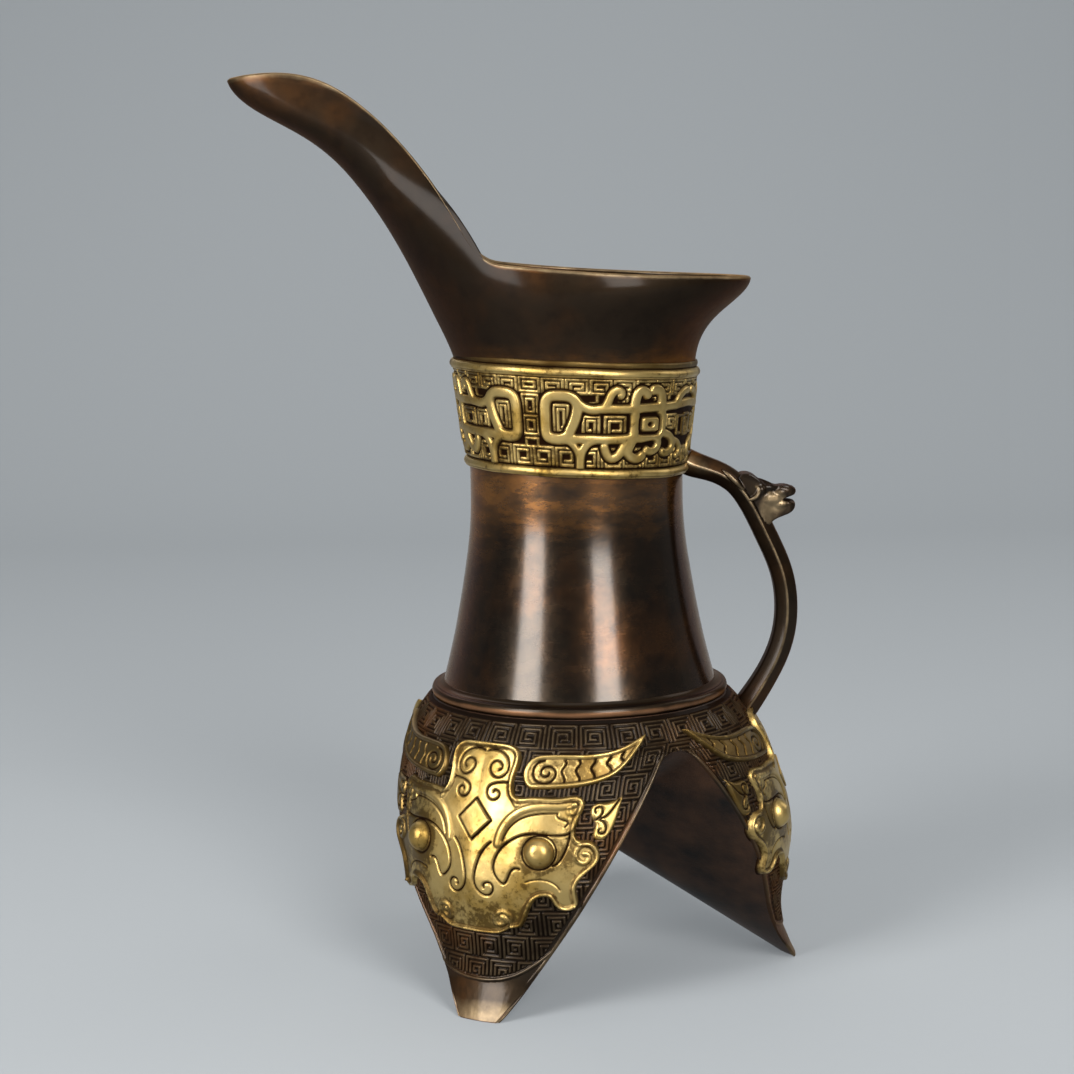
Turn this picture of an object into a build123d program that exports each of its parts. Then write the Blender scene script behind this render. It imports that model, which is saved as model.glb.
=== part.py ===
from build123d import *
import os
from math import cos, radians, sin, sqrt

# Jue: a tripod wine vessel of dark bronze with gilt ornament. Z is the axis of the cup, the feet
# stand on Z = 0, the handle is at +X and the spout at -X. Sizes are in millimetres.

# Neck: a gilt band between two bead rings. It was cast a little out of level, lower at the handle.
BAND_HEIGHT = 27.0
NECK_TILT = 3.0
BAND_TOP_RADIUS = 33.8
BAND_FOOT_RADIUS = 30.5
RING_THICKNESS = 2.6
UPPER_RING_RADIUS = 35.0
LOWER_RING_RADIUS = 31.5
SPIGOT_HEIGHT = 4.0
SPIGOT_WALL = 0.7
SPIGOT_STEP = 0.2
RING_BED = 0.4
DRAGON_RELIEF = 0.9
DRAGON_LINE = 2.8
DRAGON_MIRROR = -114.0
HEAD_COIL = 11.0
HOOK_RADIUS = 2.9
# Angle from the mirror line, height on the band, and whether the hook stands up or hangs.
HOOKS = (
    (42.0, 6.6, 1), (53.0, 6.6, 1), (64.0, 6.6, 1),
    (44.0, -8.0, -1), (55.0, -7.6, -1), (65.0, -7.2, -1),
)
DRAGON_BARS = ((10.0, 51.0, -5.2), (20.0, 66.0, 4.0), (49.0, 66.0, -4.6), (48.0, 58.0, -0.4))

# Barrel: the plain waisted body, with a bead ring round its foot.
BARREL_WALL = 2.4
BARREL_TOP_RADIUS = 29.8
BARREL_HEIGHT = 64.8
BARREL_WAIST_SHARE = 0.8565
BARREL_MID_SHARE = 0.4552
BARREL_MID_RADIUS = 32.7
BARREL_FOOT_RADIUS = 39.6
BARREL_FLARE = 0.34
BASE_RING_HEIGHT = 6.2
BASE_FILLET_HEIGHT = 2.8
BASE_RING_GAP = 0.2
BASE_RING_RADIUS = 41.8

# Legs: three hollow lobes. Each one fills a third of the circle and is cut free below by arches.
LEG_HEIGHT = 78.5
LEG_WALL = 2.6
TOE_RADIUS = 61.2
INSTEP_RADIUS = 57.7
ANKLE_RADIUS = 56.4
CALF_RADIUS = 58.4
KNEE_RADIUS = 56.8
THIGH_RADIUS = 53.4
HIP_RADIUS = 48.6
COLLAR_RADIUS = 41.5
TOE_HALF_WIDTH = 5.3
TOE_FLAT = 3.8
EDGE_HALF_WIDTH = 29.3
CROTCH_HEIGHT = 38.0
ARCH_HEIGHT = 70.5
ARCH_ROUND = 7.0
ARCH_LEAN = 32.0
HOLLOW_SET_BACK = 4.2
HOLLOW_LIFT = 1.5
TOE_SOLID = 22.0

# Beast mask on each leg, raised from the leg in plates.
MASK_SHIFT = -2.2
MASK_DRAWN_HEIGHT = 78.5
FACE_RELIEF = 1.5
HORN_RELIEF = 1.9
EAR_RELIEF = 1.4
EYE_RADIUS = 4.2
EYE_SPACING = 36.2
EYE_SHARE = 0.5898
EYE_SINK = 0.4
DIAMOND_WIDTH = 9.6
DIAMOND_HEIGHT = 10.2
DIAMOND_RELIEF = 0.8

# Mouth: trumpet flare, tail over the handle and spout with an open top.
MOUTH_WALL = 1.8
MOUTH_FOOT_RADIUS = 33.6
MOUTH_HALF_WIDTH = 37.2
TAIL_REACH = 48.4
TAIL_RISE = 23.7
SPOUT_REACH = 94.0
SPOUT_RISE = 56.9
WALL_LIFT = 1.5

# Handle: a ridged strap with a beast head at the top.
STRAP_WIDTH = 9.0
STRAP_THICKNESS = 6.2
STRAP_BEVEL = 2.2
# Reach from the axis, and height as a share of the barrel above the legs.
STRAP_BOW = (
    (30.5, 1.0015), (36.5, 0.9645), (45.0, 0.8904), (53.0, 0.6806), (57.6, 0.5093),
    (59.0, 0.3472), (57.4, 0.1852), (52.4, 0.0231), (46.0, -0.1235),
)
HEAD_WIDTH = 9.4
HEAD_REACH = 61.8
HEAD_SHARE = 0.8349
JAW_GAP = 2.2

os.makedirs("parts", exist_ok=True)


def save(solid, name):
    solid.label = name
    export_step(solid, "parts/" + name + ".step")


# Heights that stack up from the feet.
lower_ring_height = LEG_HEIGHT + BARREL_HEIGHT
upper_ring_height = lower_ring_height + BAND_HEIGHT
tail_height = upper_ring_height + TAIL_RISE
spout_height = tail_height + SPOUT_RISE
head_height = LEG_HEIGHT + HEAD_SHARE * BARREL_HEIGHT

# The two joint planes of the neck. Both lean by the same angle, each about the axis of the cup.
tilt = radians(NECK_TILT)
lean_out = Vector(cos(tilt), 0, -sin(tilt))
lean_up = Vector(sin(tilt), 0, cos(tilt))
upper_joint = Plane((0, 0, upper_ring_height), x_dir=lean_out, z_dir=lean_up)
lower_joint = Plane((0, 0, lower_ring_height), x_dir=lean_out, z_dir=lean_up)
neck_mid_height = (upper_ring_height + lower_ring_height) / 2
neck_axis = Axis((0, 0, neck_mid_height), lean_up)
foot_bore = BARREL_TOP_RADIUS - BARREL_WALL
top_bore = MOUTH_FOOT_RADIUS - MOUTH_WALL


def neck_cone(foot_radius, top_radius):
    # A body that widens from the lower joint to the upper one.
    with BuildPart() as cone:
        with BuildSketch(lower_joint):
            Circle(foot_radius)
        with BuildSketch(upper_joint):
            Circle(top_radius)
        loft()
    return cone.part


def spigot(joint, bore, height):
    # Thin collar that enters the rebate in the end of the band.
    with BuildPart() as collar:
        with BuildSketch(joint):
            Circle(bore + SPIGOT_STEP + SPIGOT_WALL)
            Circle(bore + SPIGOT_STEP, mode=Mode.SUBTRACT)
        extrude(amount=height)
    return collar.part


def neck_ring(joint, seat, radius):
    # A half-round bead that lies in a groove across the joint.
    with BuildPart() as ring:
        with BuildSketch(Plane(joint.origin, x_dir=joint.x_dir, z_dir=(0, -1, 0))):
            with BuildLine():
                bead = ThreePointArc((seat, -RING_THICKNESS / 2), (radius, 0), (seat, RING_THICKNESS / 2))
                Line(bead @ 1, bead @ 0)
            make_face()
        revolve(axis=Axis(joint.origin, joint.z_dir))
    return ring.part


band_ground = neck_cone(BAND_FOOT_RADIUS, BAND_TOP_RADIUS)
barrel_spigot = spigot(lower_joint, foot_bore, SPIGOT_HEIGHT)
mouth_spigot = spigot(upper_joint, top_bore, -SPIGOT_HEIGHT)
ring_upper = neck_ring(upper_joint, MOUTH_FOOT_RADIUS - RING_BED, UPPER_RING_RADIUS)
ring_lower = neck_ring(lower_joint, BARREL_TOP_RADIUS - RING_BED, LOWER_RING_RADIUS)

with BuildPart() as neck_band:
    add(band_ground)
    add(neck_cone(foot_bore + SPIGOT_STEP, top_bore), mode=Mode.SUBTRACT)
    for let_in in (barrel_spigot, mouth_spigot, ring_upper, ring_lower):
        add(let_in, mode=Mode.SUBTRACT)

# Barrel: turned wall, cut off at the lower ring, with a spigot that enters the band.
waist_height = LEG_HEIGHT + BARREL_WAIST_SHARE * BARREL_HEIGHT
mid_height = LEG_HEIGHT + BARREL_MID_SHARE * BARREL_HEIGHT
top_height = lower_ring_height + BARREL_TOP_RADIUS * sin(tilt) + 2


def barrel_core(change):
    # The solid form of the barrel, with every radius changed by the same amount.
    with BuildPart() as core:
        with BuildSketch(Plane.XZ):
            with BuildLine():
                side = Spline(
                    (BARREL_TOP_RADIUS + change, waist_height),
                    (BARREL_MID_RADIUS + change, mid_height),
                    (BARREL_FOOT_RADIUS + change, LEG_HEIGHT),
                    tangents=((0, -1), (BARREL_FLARE, -1)),
                )
                top = Line(side @ 0, (BARREL_TOP_RADIUS + change, top_height))
                Polyline(top @ 1, (0, top_height), (0, LEG_HEIGHT), side @ 1)
            make_face()
        revolve(axis=Axis.Z)
    return core.part


with BuildPart() as barrel:
    add(barrel_core(0))
    add(barrel_core(-BARREL_WALL), mode=Mode.SUBTRACT)
    split(bisect_by=lower_joint, keep=Keep.BOTTOM)
    add(barrel_spigot)
    add(ring_lower, mode=Mode.SUBTRACT)

# Ring round the foot of the barrel, resting on the collar of the legs: a rounded fillet under a
# hollow slope that runs up to the barrel.
with BuildPart() as base_ring:
    with BuildSketch(Plane.XZ):
        with BuildLine():
            inside_radius = BARREL_FOOT_RADIUS - BARREL_WALL
            edge_radius = BASE_RING_RADIUS - BASE_FILLET_HEIGHT / 4
            fillet_top = LEG_HEIGHT + BASE_FILLET_HEIGHT
            ring_top = LEG_HEIGHT + BASE_RING_HEIGHT
            nose = ThreePointArc(
                (edge_radius, LEG_HEIGHT),
                (BASE_RING_RADIUS, LEG_HEIGHT + BASE_FILLET_HEIGHT / 2),
                (edge_radius, fillet_top),
            )
            slope_middle = ((edge_radius + inside_radius) / 2 - 0.25, (fillet_top + ring_top) / 2 - 0.25)
            slope = ThreePointArc(nose @ 1, slope_middle, (inside_radius, ring_top))
            Polyline(slope @ 1, (inside_radius, LEG_HEIGHT), nose @ 0)
        make_face()
    revolve(axis=Axis.Z)
    add(barrel_core(BASE_RING_GAP), mode=Mode.SUBTRACT)

# Mouth and spout: level oval sections. Each row is height, spout side, tail side and half width.
mouth_sections = (
    (upper_ring_height - 8.3, -MOUTH_FOOT_RADIUS + 0.4, MOUTH_FOOT_RADIUS - 0.4, MOUTH_FOOT_RADIUS - 0.4),
    (upper_ring_height + 3.7, -MOUTH_FOOT_RADIUS - 0.4, MOUTH_FOOT_RADIUS + 0.4, MOUTH_FOOT_RADIUS + 0.2),
    (tail_height - 0.42 * TAIL_RISE, -38.4, TAIL_REACH - 8.5, MOUTH_HALF_WIDTH - 1.4),
    (tail_height + 1.0, -43.6, TAIL_REACH + 0.7, MOUTH_HALF_WIDTH),
    (tail_height + 0.21 * SPOUT_RISE, -49.3, 30.0, MOUTH_HALF_WIDTH - 6.2),
    (tail_height + 0.49 * SPOUT_RISE, -59.9, -14.0, 18.2),
    (tail_height + 0.73 * SPOUT_RISE, -74.0, -36.0, 12.6),
    (tail_height + 0.91 * SPOUT_RISE, 2.5 - SPOUT_REACH, -52.0, 9.4),
    (spout_height + 2.0, -SPOUT_REACH, -60.0, 7.6),
)


def mouth_form(inset, lift):
    # The flare as a full body, or the hollow inside it when drawn in and lifted by the wall.
    with BuildPart() as form:
        for height, left, right, half_width in mouth_sections:
            with BuildSketch(Plane.XY.offset(height + lift)):
                with Locations(((left + right) / 2, 0)):
                    Ellipse((right - left) / 2 - inset, half_width - inset)
        loft()
        split(bisect_by=upper_joint.offset(-lift), keep=Keep.TOP)
    return form.part


mouth_hollow = mouth_form(MOUTH_WALL, WALL_LIFT)

with BuildPart() as mouth_spout:
    add(mouth_form(0, 0))
    # Edge of the rim seen from the side: nearly level from the tail, then up along the spout.
    with BuildSketch(Plane.XZ):
        with BuildLine():
            rim = Spline(
                (TAIL_REACH + 12, tail_height - 0.5),
                (TAIL_REACH, tail_height),
                (10.0, tail_height + 1.8),
                (-18.5, tail_height + 4.4),
                (-27.0, tail_height + 0.148 * SPOUT_RISE),
                (-32.5, tail_height + 0.299 * SPOUT_RISE),
                (-42.5, tail_height + 0.566 * SPOUT_RISE),
                (0.602 * -SPOUT_REACH, tail_height + 0.83 * SPOUT_RISE),
                (0.705 * -SPOUT_REACH, spout_height - 3.2),
                (0.867 * -SPOUT_REACH, spout_height),
                (-SPOUT_REACH - 3, spout_height - 1.4),
            )
            above = spout_height + 20
            Polyline(rim @ 1, (-SPOUT_REACH - 3, above), (TAIL_REACH + 12, above), rim @ 0)
        make_face()
    extrude(amount=MOUTH_HALF_WIDTH + 20, both=True, mode=Mode.SUBTRACT)
    add(mouth_hollow, mode=Mode.SUBTRACT)
    add(mouth_spigot)
    add(ring_upper, mode=Mode.SUBTRACT)


# Dragons on the neck band, each read away from the line that mirrors it in its partner.
def dragon_plane(angle, height):
    # Square to the band at an angle round the neck.
    turn = radians(angle)
    out = lean_out * cos(turn) + Vector(0, 1, 0) * sin(turn)
    along = Vector(0, 1, 0) * cos(turn) - lean_out * sin(turn)
    return Plane(Vector(0, 0, neck_mid_height) + lean_up * height, x_dir=along, z_dir=out)


def dragon_bar(start, end, height):
    # A stroke of the dragon that runs round the band.
    middle = dragon_plane(start, height)
    with BuildPart() as bar:
        with BuildSketch(Plane(middle.origin, x_dir=middle.z_dir, z_dir=-middle.x_dir)):
            with Locations((BAND_TOP_RADIUS, 0)):
                Rectangle(16, DRAGON_LINE)
        revolve(axis=Axis(middle.origin, lean_up), revolution_arc=end - start)
    return bar.part


def dragon(mirror_angle, sense):
    # Coiled head, belly and back, stem, square eye and the hooked scrolls above and below them.
    with BuildPart() as body:
        with BuildSketch(dragon_plane(mirror_angle + sense * 15.0, 1.3)):
            RectangleRounded(HEAD_COIL, HEAD_COIL + 2.2, 3.4)
            RectangleRounded(HEAD_COIL - 5.2, HEAD_COIL - 2.4, 1.4, mode=Mode.SUBTRACT)
        extrude(amount=50)
        with BuildSketch(dragon_plane(mirror_angle + sense * 49.5, -2.4)):
            Rectangle(DRAGON_LINE, 13.8)
        extrude(amount=50)
        with BuildSketch(dragon_plane(mirror_angle + sense * 61.0, -0.4)):
            Rectangle(5.6, 4.6)
            Rectangle(1.8, 1.6, mode=Mode.SUBTRACT)
        extrude(amount=50)
        with BuildSketch(dragon_plane(mirror_angle + sense * 25.0, -8.4)):
            Trapezoid(6.4, 4.6, 66, rotation=180)
        extrude(amount=50)
        for angle, height, side in HOOKS:
            with BuildSketch(dragon_plane(mirror_angle + sense * angle, height)):
                Circle(HOOK_RADIUS)
                Circle(HOOK_RADIUS - 1.7, mode=Mode.SUBTRACT)
                with Locations((sense * HOOK_RADIUS, -side * HOOK_RADIUS)):
                    Rectangle(2 * HOOK_RADIUS, 2 * HOOK_RADIUS, mode=Mode.SUBTRACT)
            extrude(amount=50)
        for start, end, height in DRAGON_BARS:
            low, high = sorted((mirror_angle + sense * start, mirror_angle + sense * end))
            add(dragon_bar(low, high, height))
    return body.part


dragon_surface = neck_cone(BAND_FOOT_RADIUS + DRAGON_RELIEF, BAND_TOP_RADIUS + DRAGON_RELIEF)
with BuildPart() as neck_dragons:
    for mirror_angle in (DRAGON_MIRROR, DRAGON_MIRROR + 180):
        for sense in (1, -1):
            add(dragon(mirror_angle, sense))
    add(dragon_surface, mode=Mode.INTERSECT)
    add(band_ground, mode=Mode.SUBTRACT)

# Legs. Each section is an arc through the leg's middle and the two seams, closed to the axis.
leg_sections = (
    (0.0, TOE_RADIUS, 32.0),
    (0.10, INSTEP_RADIUS, 36.0),
    (0.23, ANKLE_RADIUS, 40.4),
    (0.44, CALF_RADIUS, 47.6),
    (0.62, KNEE_RADIUS, 51.0),
    (0.77, THIGH_RADIUS, 50.4),
    (0.89, HIP_RADIUS, 47.2),
    (1.0, COLLAR_RADIUS, COLLAR_RADIUS),
)


def leg_lobe(growth):
    # A third of the tripod's body, grown or drawn in sideways.
    with BuildPart() as lobe:
        for share, middle, seam in leg_sections:
            across = (seam + growth) * sin(radians(60))
            along = (seam + growth) * cos(radians(60))
            with BuildSketch(Plane.XY.offset(share * LEG_HEIGHT)):
                with BuildLine():
                    face = ThreePointArc((along, -across), (middle + growth, 0), (along, across))
                    Polyline(face @ 1, (0, 0), face @ 0)
                make_face()
        loft()
    return lobe.part


def seen_from_crotch(x, y, z, distance):
    # Where a point of the leg appears on a plane across the arch, looking out from the crotch.
    out = x * cos(radians(60)) + y * sin(radians(60))
    side = x * sin(radians(60)) - y * cos(radians(60))
    return Vector(side * distance / out, (z - CROTCH_HEIGHT) * distance / out)


def arch_void(azimuth, set_back):
    # The space under the arch between two legs: a cone of rays from the crotch.
    distance = TOE_RADIUS + 14
    out = Vector(cos(radians(azimuth)), sin(radians(azimuth)), 0)
    apex = Vector(0, 0, CROTCH_HEIGHT) - out * set_back
    scale = distance / HIP_RADIUS
    top = (ARCH_HEIGHT - CROTCH_HEIGHT) * scale
    bend = ARCH_ROUND * scale
    lean = radians(ARCH_LEAN)
    spring = Vector(bend * cos(lean), top - bend + bend * sin(lean))
    edge = seen_from_crotch(1.6 * EDGE_HALF_WIDTH, EDGE_HALF_WIDTH, CROTCH_HEIGHT, distance)
    toe = seen_from_crotch(TOE_RADIUS - 0.6, TOE_HALF_WIDTH, 0, distance)
    keel = seen_from_crotch(TOE_RADIUS - TOE_FLAT, 0, 0, distance)
    below = keel + (keel - toe) * 2
    across = Plane(apex + out * distance, x_dir=(-out.Y, out.X, 0), z_dir=out)
    with BuildPart() as void:
        with BuildSketch(across) as opening:
            with BuildLine():
                right = Spline(spring, edge, toe, keel, below, tangents=((sin(lean), -cos(lean)), keel - toe))
                mirror(right, about=Plane.YZ)
                ThreePointArc((-spring.X, spring.Y), (0, top), spring)
                Line((-below.X, below.Y), below)
            make_face()
        loft(sections=[opening.sketch, Vertex(apex.X, apex.Y, apex.Z)], ruled=True)
    return void.part


def under_tripod(set_back, lift):
    # All the space below the legs: the three arches and the pyramid that their keels leave.
    keel_radius = TOE_RADIUS - TOE_FLAT
    apex_height = CROTCH_HEIGHT + lift + 0.5 * set_back
    with BuildPart() as pyramid:
        with BuildSketch(Plane.XY.offset(apex_height - 1.1 * CROTCH_HEIGHT)) as base:
            RegularPolygon(1.1 * keel_radius, 3)
        loft(sections=[base.sketch, Vertex(0, 0, apex_height)], ruled=True)
    voids = [arch_void(azimuth, set_back).moved(Location((0, 0, lift))) for azimuth in (60, -60)]
    return voids + [pyramid.part]


leg_outside = leg_lobe(0)

with BuildPart() as hollow:
    add(leg_lobe(-LEG_WALL))
    for space in under_tripod(HOLLOW_SET_BACK, HOLLOW_LIFT):
        add(space, mode=Mode.SUBTRACT)
    split(bisect_by=Plane.XY.offset(TOE_SOLID), keep=Keep.TOP)

with BuildPart() as leg:
    add(leg_outside)
    for space in under_tripod(0, 0):
        add(space, mode=Mode.SUBTRACT)
    add(hollow.part, mode=Mode.SUBTRACT)


def leg_depth(across, height):
    # Distance of the leg's face from the axis at one spot of the mask.
    share = height / LEG_HEIGHT
    for low, high in zip(leg_sections, leg_sections[1:]):
        if low[0] <= share <= high[0]:
            part_way = (share - low[0]) / (high[0] - low[0])
            middle = low[1] + part_way * (high[1] - low[1])
            seam = low[2] + part_way * (high[2] - low[2])
    centre = (middle**2 - seam**2) / (2 * middle - seam)
    return centre + sqrt((middle - centre) ** 2 - across**2)


face_ground = leg_lobe(FACE_RELIEF)
across_leg = Plane((30, MASK_SHIFT, 0), x_dir=(0, 1, 0), z_dir=(1, 0, 0))
stretch = LEG_HEIGHT / MASK_DRAWN_HEIGHT


def drawn(*spots):
    # Spots of the mask drawing, stretched in height to the leg they lie on.
    return [(across, height * stretch) for across, height in spots]


def raised(outline, relief):
    # A plate of even relief on the leg's face, cut to an outline drawn square to the leg.
    with BuildPart() as plate:
        add(outline)
        add(leg_lobe(relief), mode=Mode.INTERSECT)
        add(leg_outside, mode=Mode.SUBTRACT)
    return plate.part


# Face of the beast: forehead plaque, brows, cheeks, jaw and chin, drawn for one half.
with BuildPart() as face_outline:
    with BuildSketch(across_leg):
        with BuildLine():
            plaque = Polyline(*drawn((0, 72.4), (8.6, 71.9), (10.2, 69.4), (9.6, 63.5), (10.8, 60.4)))
            brow = Spline(plaque @ 1, *drawn((18.0, 60.6), (25.0, 59.8), (27.8, 56.6)))
            cheek = Spline(brow @ 1, *drawn((27.4, 49.0), (27.0, 41.5), (23.4, 34.0)))
            jaw = Spline(cheek @ 1, *drawn((20.6, 32.4), (17.6, 34.8), (14.8, 31.2), (12.4, 26.8)))
            Spline(jaw @ 1, *drawn((7.0, 24.7), (0, 24.2)), tangents=((-1, -1), (-1, 0)))
            mirror(about=Plane.YZ)
        make_face()
    extrude(amount=50)

# Brow jewel between the eyes.
with BuildPart() as jewel_outline:
    with BuildSketch(across_leg):
        with Locations((0, 53.6 * stretch)):
            Polygon(
                (DIAMOND_WIDTH / 2, 0),
                (0, DIAMOND_HEIGHT / 2),
                (-DIAMOND_WIDTH / 2, 0),
                (0, -DIAMOND_HEIGHT / 2),
            )
    extrude(amount=50)

with BuildPart() as mask_face:
    add(raised(face_outline.part, FACE_RELIEF))
    add(raised(jewel_outline.part, FACE_RELIEF + DIAMOND_RELIEF))

# Horns: thick bars from a round root beside the plaque to an upturned tip.
with BuildPart() as horn_outline:
    with BuildSketch(across_leg):
        with BuildLine():
            under = Spline(*drawn((14.4, 61.9), (23.0, 62.3), (30.4, 63.8), (34.8, 68.4), (35.6, 74.2)))
            over_points = drawn((32.6, 71.6), (26.0, 70.2), (15.0, 70.0))
            over = Spline(under @ 1, *over_points, tangents=((-0.4, -1), (-1, 0)))
            ThreePointArc(over @ 1, *drawn((11.6, 66.0)), under @ 0)
        make_face()
        mirror(about=Plane.YZ)
    extrude(amount=50)

# Ears: pointed leaves that hang beside the cheeks.
with BuildPart() as ear_outline:
    with BuildSketch(across_leg):
        with BuildLine():
            ear_back = Spline(*drawn((34.4, 60.3), (34.4, 55.6), (32.4, 50.0)))
            ear_foot = Spline(ear_back @ 1, *drawn((30.6, 48.9), (29.4, 51.2)))
            Spline(ear_foot @ 1, *drawn((29.2, 56.6), (34.4, 60.3)))
        make_face()
        mirror(about=Plane.YZ)
    extrude(amount=50)

# Eyes: round bosses standing on the face plate.
eye_height = EYE_SHARE * LEG_HEIGHT
with BuildPart() as mask_eyes:
    for side in (-EYE_SPACING / 2, EYE_SPACING / 2):
        across = side + MASK_SHIFT
        with Locations((leg_depth(across, eye_height) + EYE_SINK, across, eye_height)):
            Sphere(EYE_RADIUS)
    add(face_ground, mode=Mode.SUBTRACT)

# Handle strap: a six-sided bar swept along its bow, cut to sit on neck and shoulder.
with BuildPart() as handle_strap:
    with BuildLine(Plane.XZ) as bow:
        Spline(*[(reach, LEG_HEIGHT + share * BARREL_HEIGHT) for reach, share in STRAP_BOW])
    with BuildSketch(Plane(bow.line @ 0, x_dir=(0, 1, 0), z_dir=bow.line % 0)):
        ridge = STRAP_WIDTH / 2
        flat = STRAP_WIDTH / 2 - STRAP_BEVEL
        half = STRAP_THICKNESS / 2
        Polygon((ridge, 0), (flat, half), (-flat, half), (-ridge, 0), (-flat, -half), (flat, -half))
    sweep(path=bow.line)
    carriers = (neck_band.part, neck_dragons.part, ring_lower, barrel.part, base_ring.part, leg_outside)
    for neighbour in carriers:
        add(neighbour, mode=Mode.SUBTRACT)

# Beast head on the handle: side outline with open jaws, narrowed in plan towards the muzzle.
with BuildPart() as handle_head:
    with BuildSketch(Plane.XZ):
        with BuildLine():
            crown = Spline(
                (44.6, head_height + 4.6),
                (46.8, head_height + 7.0),
                (50.0, head_height + 6.3),
                (53.6, head_height + 3.3),
                (57.4, head_height + 3.4),
                (HEAD_REACH - 1.2, head_height + 2.9),
            )
            nose = Spline(crown @ 1, (HEAD_REACH, head_height + 1.6), (HEAD_REACH - 0.9, head_height + 0.5))
            corner = (56.4, head_height - 0.9)
            lip = (HEAD_REACH - 0.3, head_height + 0.5 - JAW_GAP)
            Polyline(nose @ 1, corner, lip)
            throat = Spline(
                lip,
                (HEAD_REACH - 0.6, head_height - 3.4),
                (58.2, head_height - 5.2),
                (55.2, head_height - 6.6),
                (54.4, head_height - 11.1),
            )
            Polyline(throat @ 1, (53.4, head_height - 8.8), (49.2, head_height - 0.6), crown @ 0)
        make_face()
    extrude(amount=HEAD_WIDTH, both=True)
    with BuildSketch(Plane.XY.offset(head_height)):
        with BuildLine():
            side = Spline(
                (42.0, 0.30 * HEAD_WIDTH),
                (49.5, 0.46 * HEAD_WIDTH),
                (52.0, 0.44 * HEAD_WIDTH),
                (56.0, 0.31 * HEAD_WIDTH),
                (HEAD_REACH - 1.8, 0.30 * HEAD_WIDTH),
                (HEAD_REACH, 0.14 * HEAD_WIDTH),
            )
            mirror(side, about=Plane.XZ)
            Line(side @ 0, (42.0, -0.30 * HEAD_WIDTH))
            Line(side @ 1, (HEAD_REACH, -0.14 * HEAD_WIDTH))
        make_face()
    extrude(amount=20, both=True, mode=Mode.INTERSECT)
    for side in (-0.40 * HEAD_WIDTH, 0.40 * HEAD_WIDTH):
        with Locations((51.6, side, head_height + 2.4)):
            Sphere(1.3)
    add(handle_strap.part, mode=Mode.SUBTRACT)

save(mouth_spout.part, "mouth_spout")
save(ring_upper, "neck_ring_upper")
save(neck_band.part, "neck_band")
save(neck_dragons.part, "neck_dragons")
save(ring_lower, "neck_ring_lower")
save(barrel.part, "barrel")
save(base_ring.part, "base_ring")
save(handle_strap.part, "handle_strap")
save(handle_head.part, "handle_head")

leg_pieces = {
    "leg": leg.part,
    "mask_face": mask_face.part,
    "mask_horns": raised(horn_outline.part, HORN_RELIEF),
    "mask_ears": raised(ear_outline.part, EAR_RELIEF),
    "mask_eyes": mask_eyes.part,
}
for place, azimuth in (("front", -120), ("back", 120)):
    for piece, solid in leg_pieces.items():
        save(solid.rotate(Axis.Z, azimuth), piece + "_" + place)

# The root of the handle is let into the forehead of the mask below it.
with BuildPart() as notched_face:
    add(mask_face.part)
    add(handle_strap.part, mode=Mode.SUBTRACT)
leg_pieces["mask_face"] = notched_face.part
for piece, solid in leg_pieces.items():
    save(solid, piece + "_handle")
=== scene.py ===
import math

import bmesh
import bpy
import numpy as np
from bpy.props import FloatProperty, IntProperty, PointerProperty, StringProperty
from mathutils import Matrix, Vector
from mathutils.bvhtree import BVHTree


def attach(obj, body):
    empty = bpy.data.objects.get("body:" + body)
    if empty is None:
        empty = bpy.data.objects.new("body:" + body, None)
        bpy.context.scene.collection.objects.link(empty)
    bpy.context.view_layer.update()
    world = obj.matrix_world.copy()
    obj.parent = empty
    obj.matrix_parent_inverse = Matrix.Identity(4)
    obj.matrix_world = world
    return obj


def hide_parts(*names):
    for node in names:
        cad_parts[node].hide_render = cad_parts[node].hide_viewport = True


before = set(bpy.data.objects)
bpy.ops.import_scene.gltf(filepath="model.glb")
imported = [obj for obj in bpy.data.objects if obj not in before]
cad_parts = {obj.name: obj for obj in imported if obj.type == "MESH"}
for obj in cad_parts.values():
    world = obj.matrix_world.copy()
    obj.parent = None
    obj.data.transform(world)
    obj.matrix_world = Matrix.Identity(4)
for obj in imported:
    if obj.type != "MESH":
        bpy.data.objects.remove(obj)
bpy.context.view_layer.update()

bl_info = {
    "name": "Bronze jue",
    "version": (1, 0, 0),
    "blender": (4, 5, 0),
    "location": "3D View > Sidebar > Jue",
    "description": "Dresses the packed jue with its patina, gilding and cast ornament",
    "category": "Object",
}

# All drawing below is in millimetres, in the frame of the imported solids: Z is the axis of the cup,
# the feet stand on Z = 0, the handle is at +X and the spout at -X.
MM = 0.001
LEGS = {"handle": 0.0, "front": -120.0, "back": 120.0}
# How much gilding each mask has lost on one side, darkened further there by painted shade: the
# left of the front leg, the front of the handle leg.
GILDING_LOSS_AND_SHADE = {"handle": 0.8, "front": 1.0, "back": 0.2}

# Neck: two joint planes that lean by the same angle about the axis of the cup.
NECK_LEAN = math.radians(3.0)
NECK_FOOT, NECK_TOP = 143.3, 170.3
BAND_FOOT_RADIUS, BAND_TOP_RADIUS = 30.5, 33.8
BAND_RADIUS = 32.15
BAND_HALF = 12.9
DRAGON_MIRROR = -114.0
RING_COLUMNS = 360
# Rings: name, height, radius of the seat and of the crest, a low second fillet, and the node.
NECK_RINGS = (
    ("ring_upper", NECK_TOP, 33.0, 35.0,
     ((33.9, 1.6), (34.1, 1.8), (34.2, 2.2), (34.2, 2.7), (34.05, 3.1)), "neck_ring_upper"),
    ("ring_lower", NECK_FOOT, 29.2, 31.5, (), "neck_ring_lower"),
)

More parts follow.
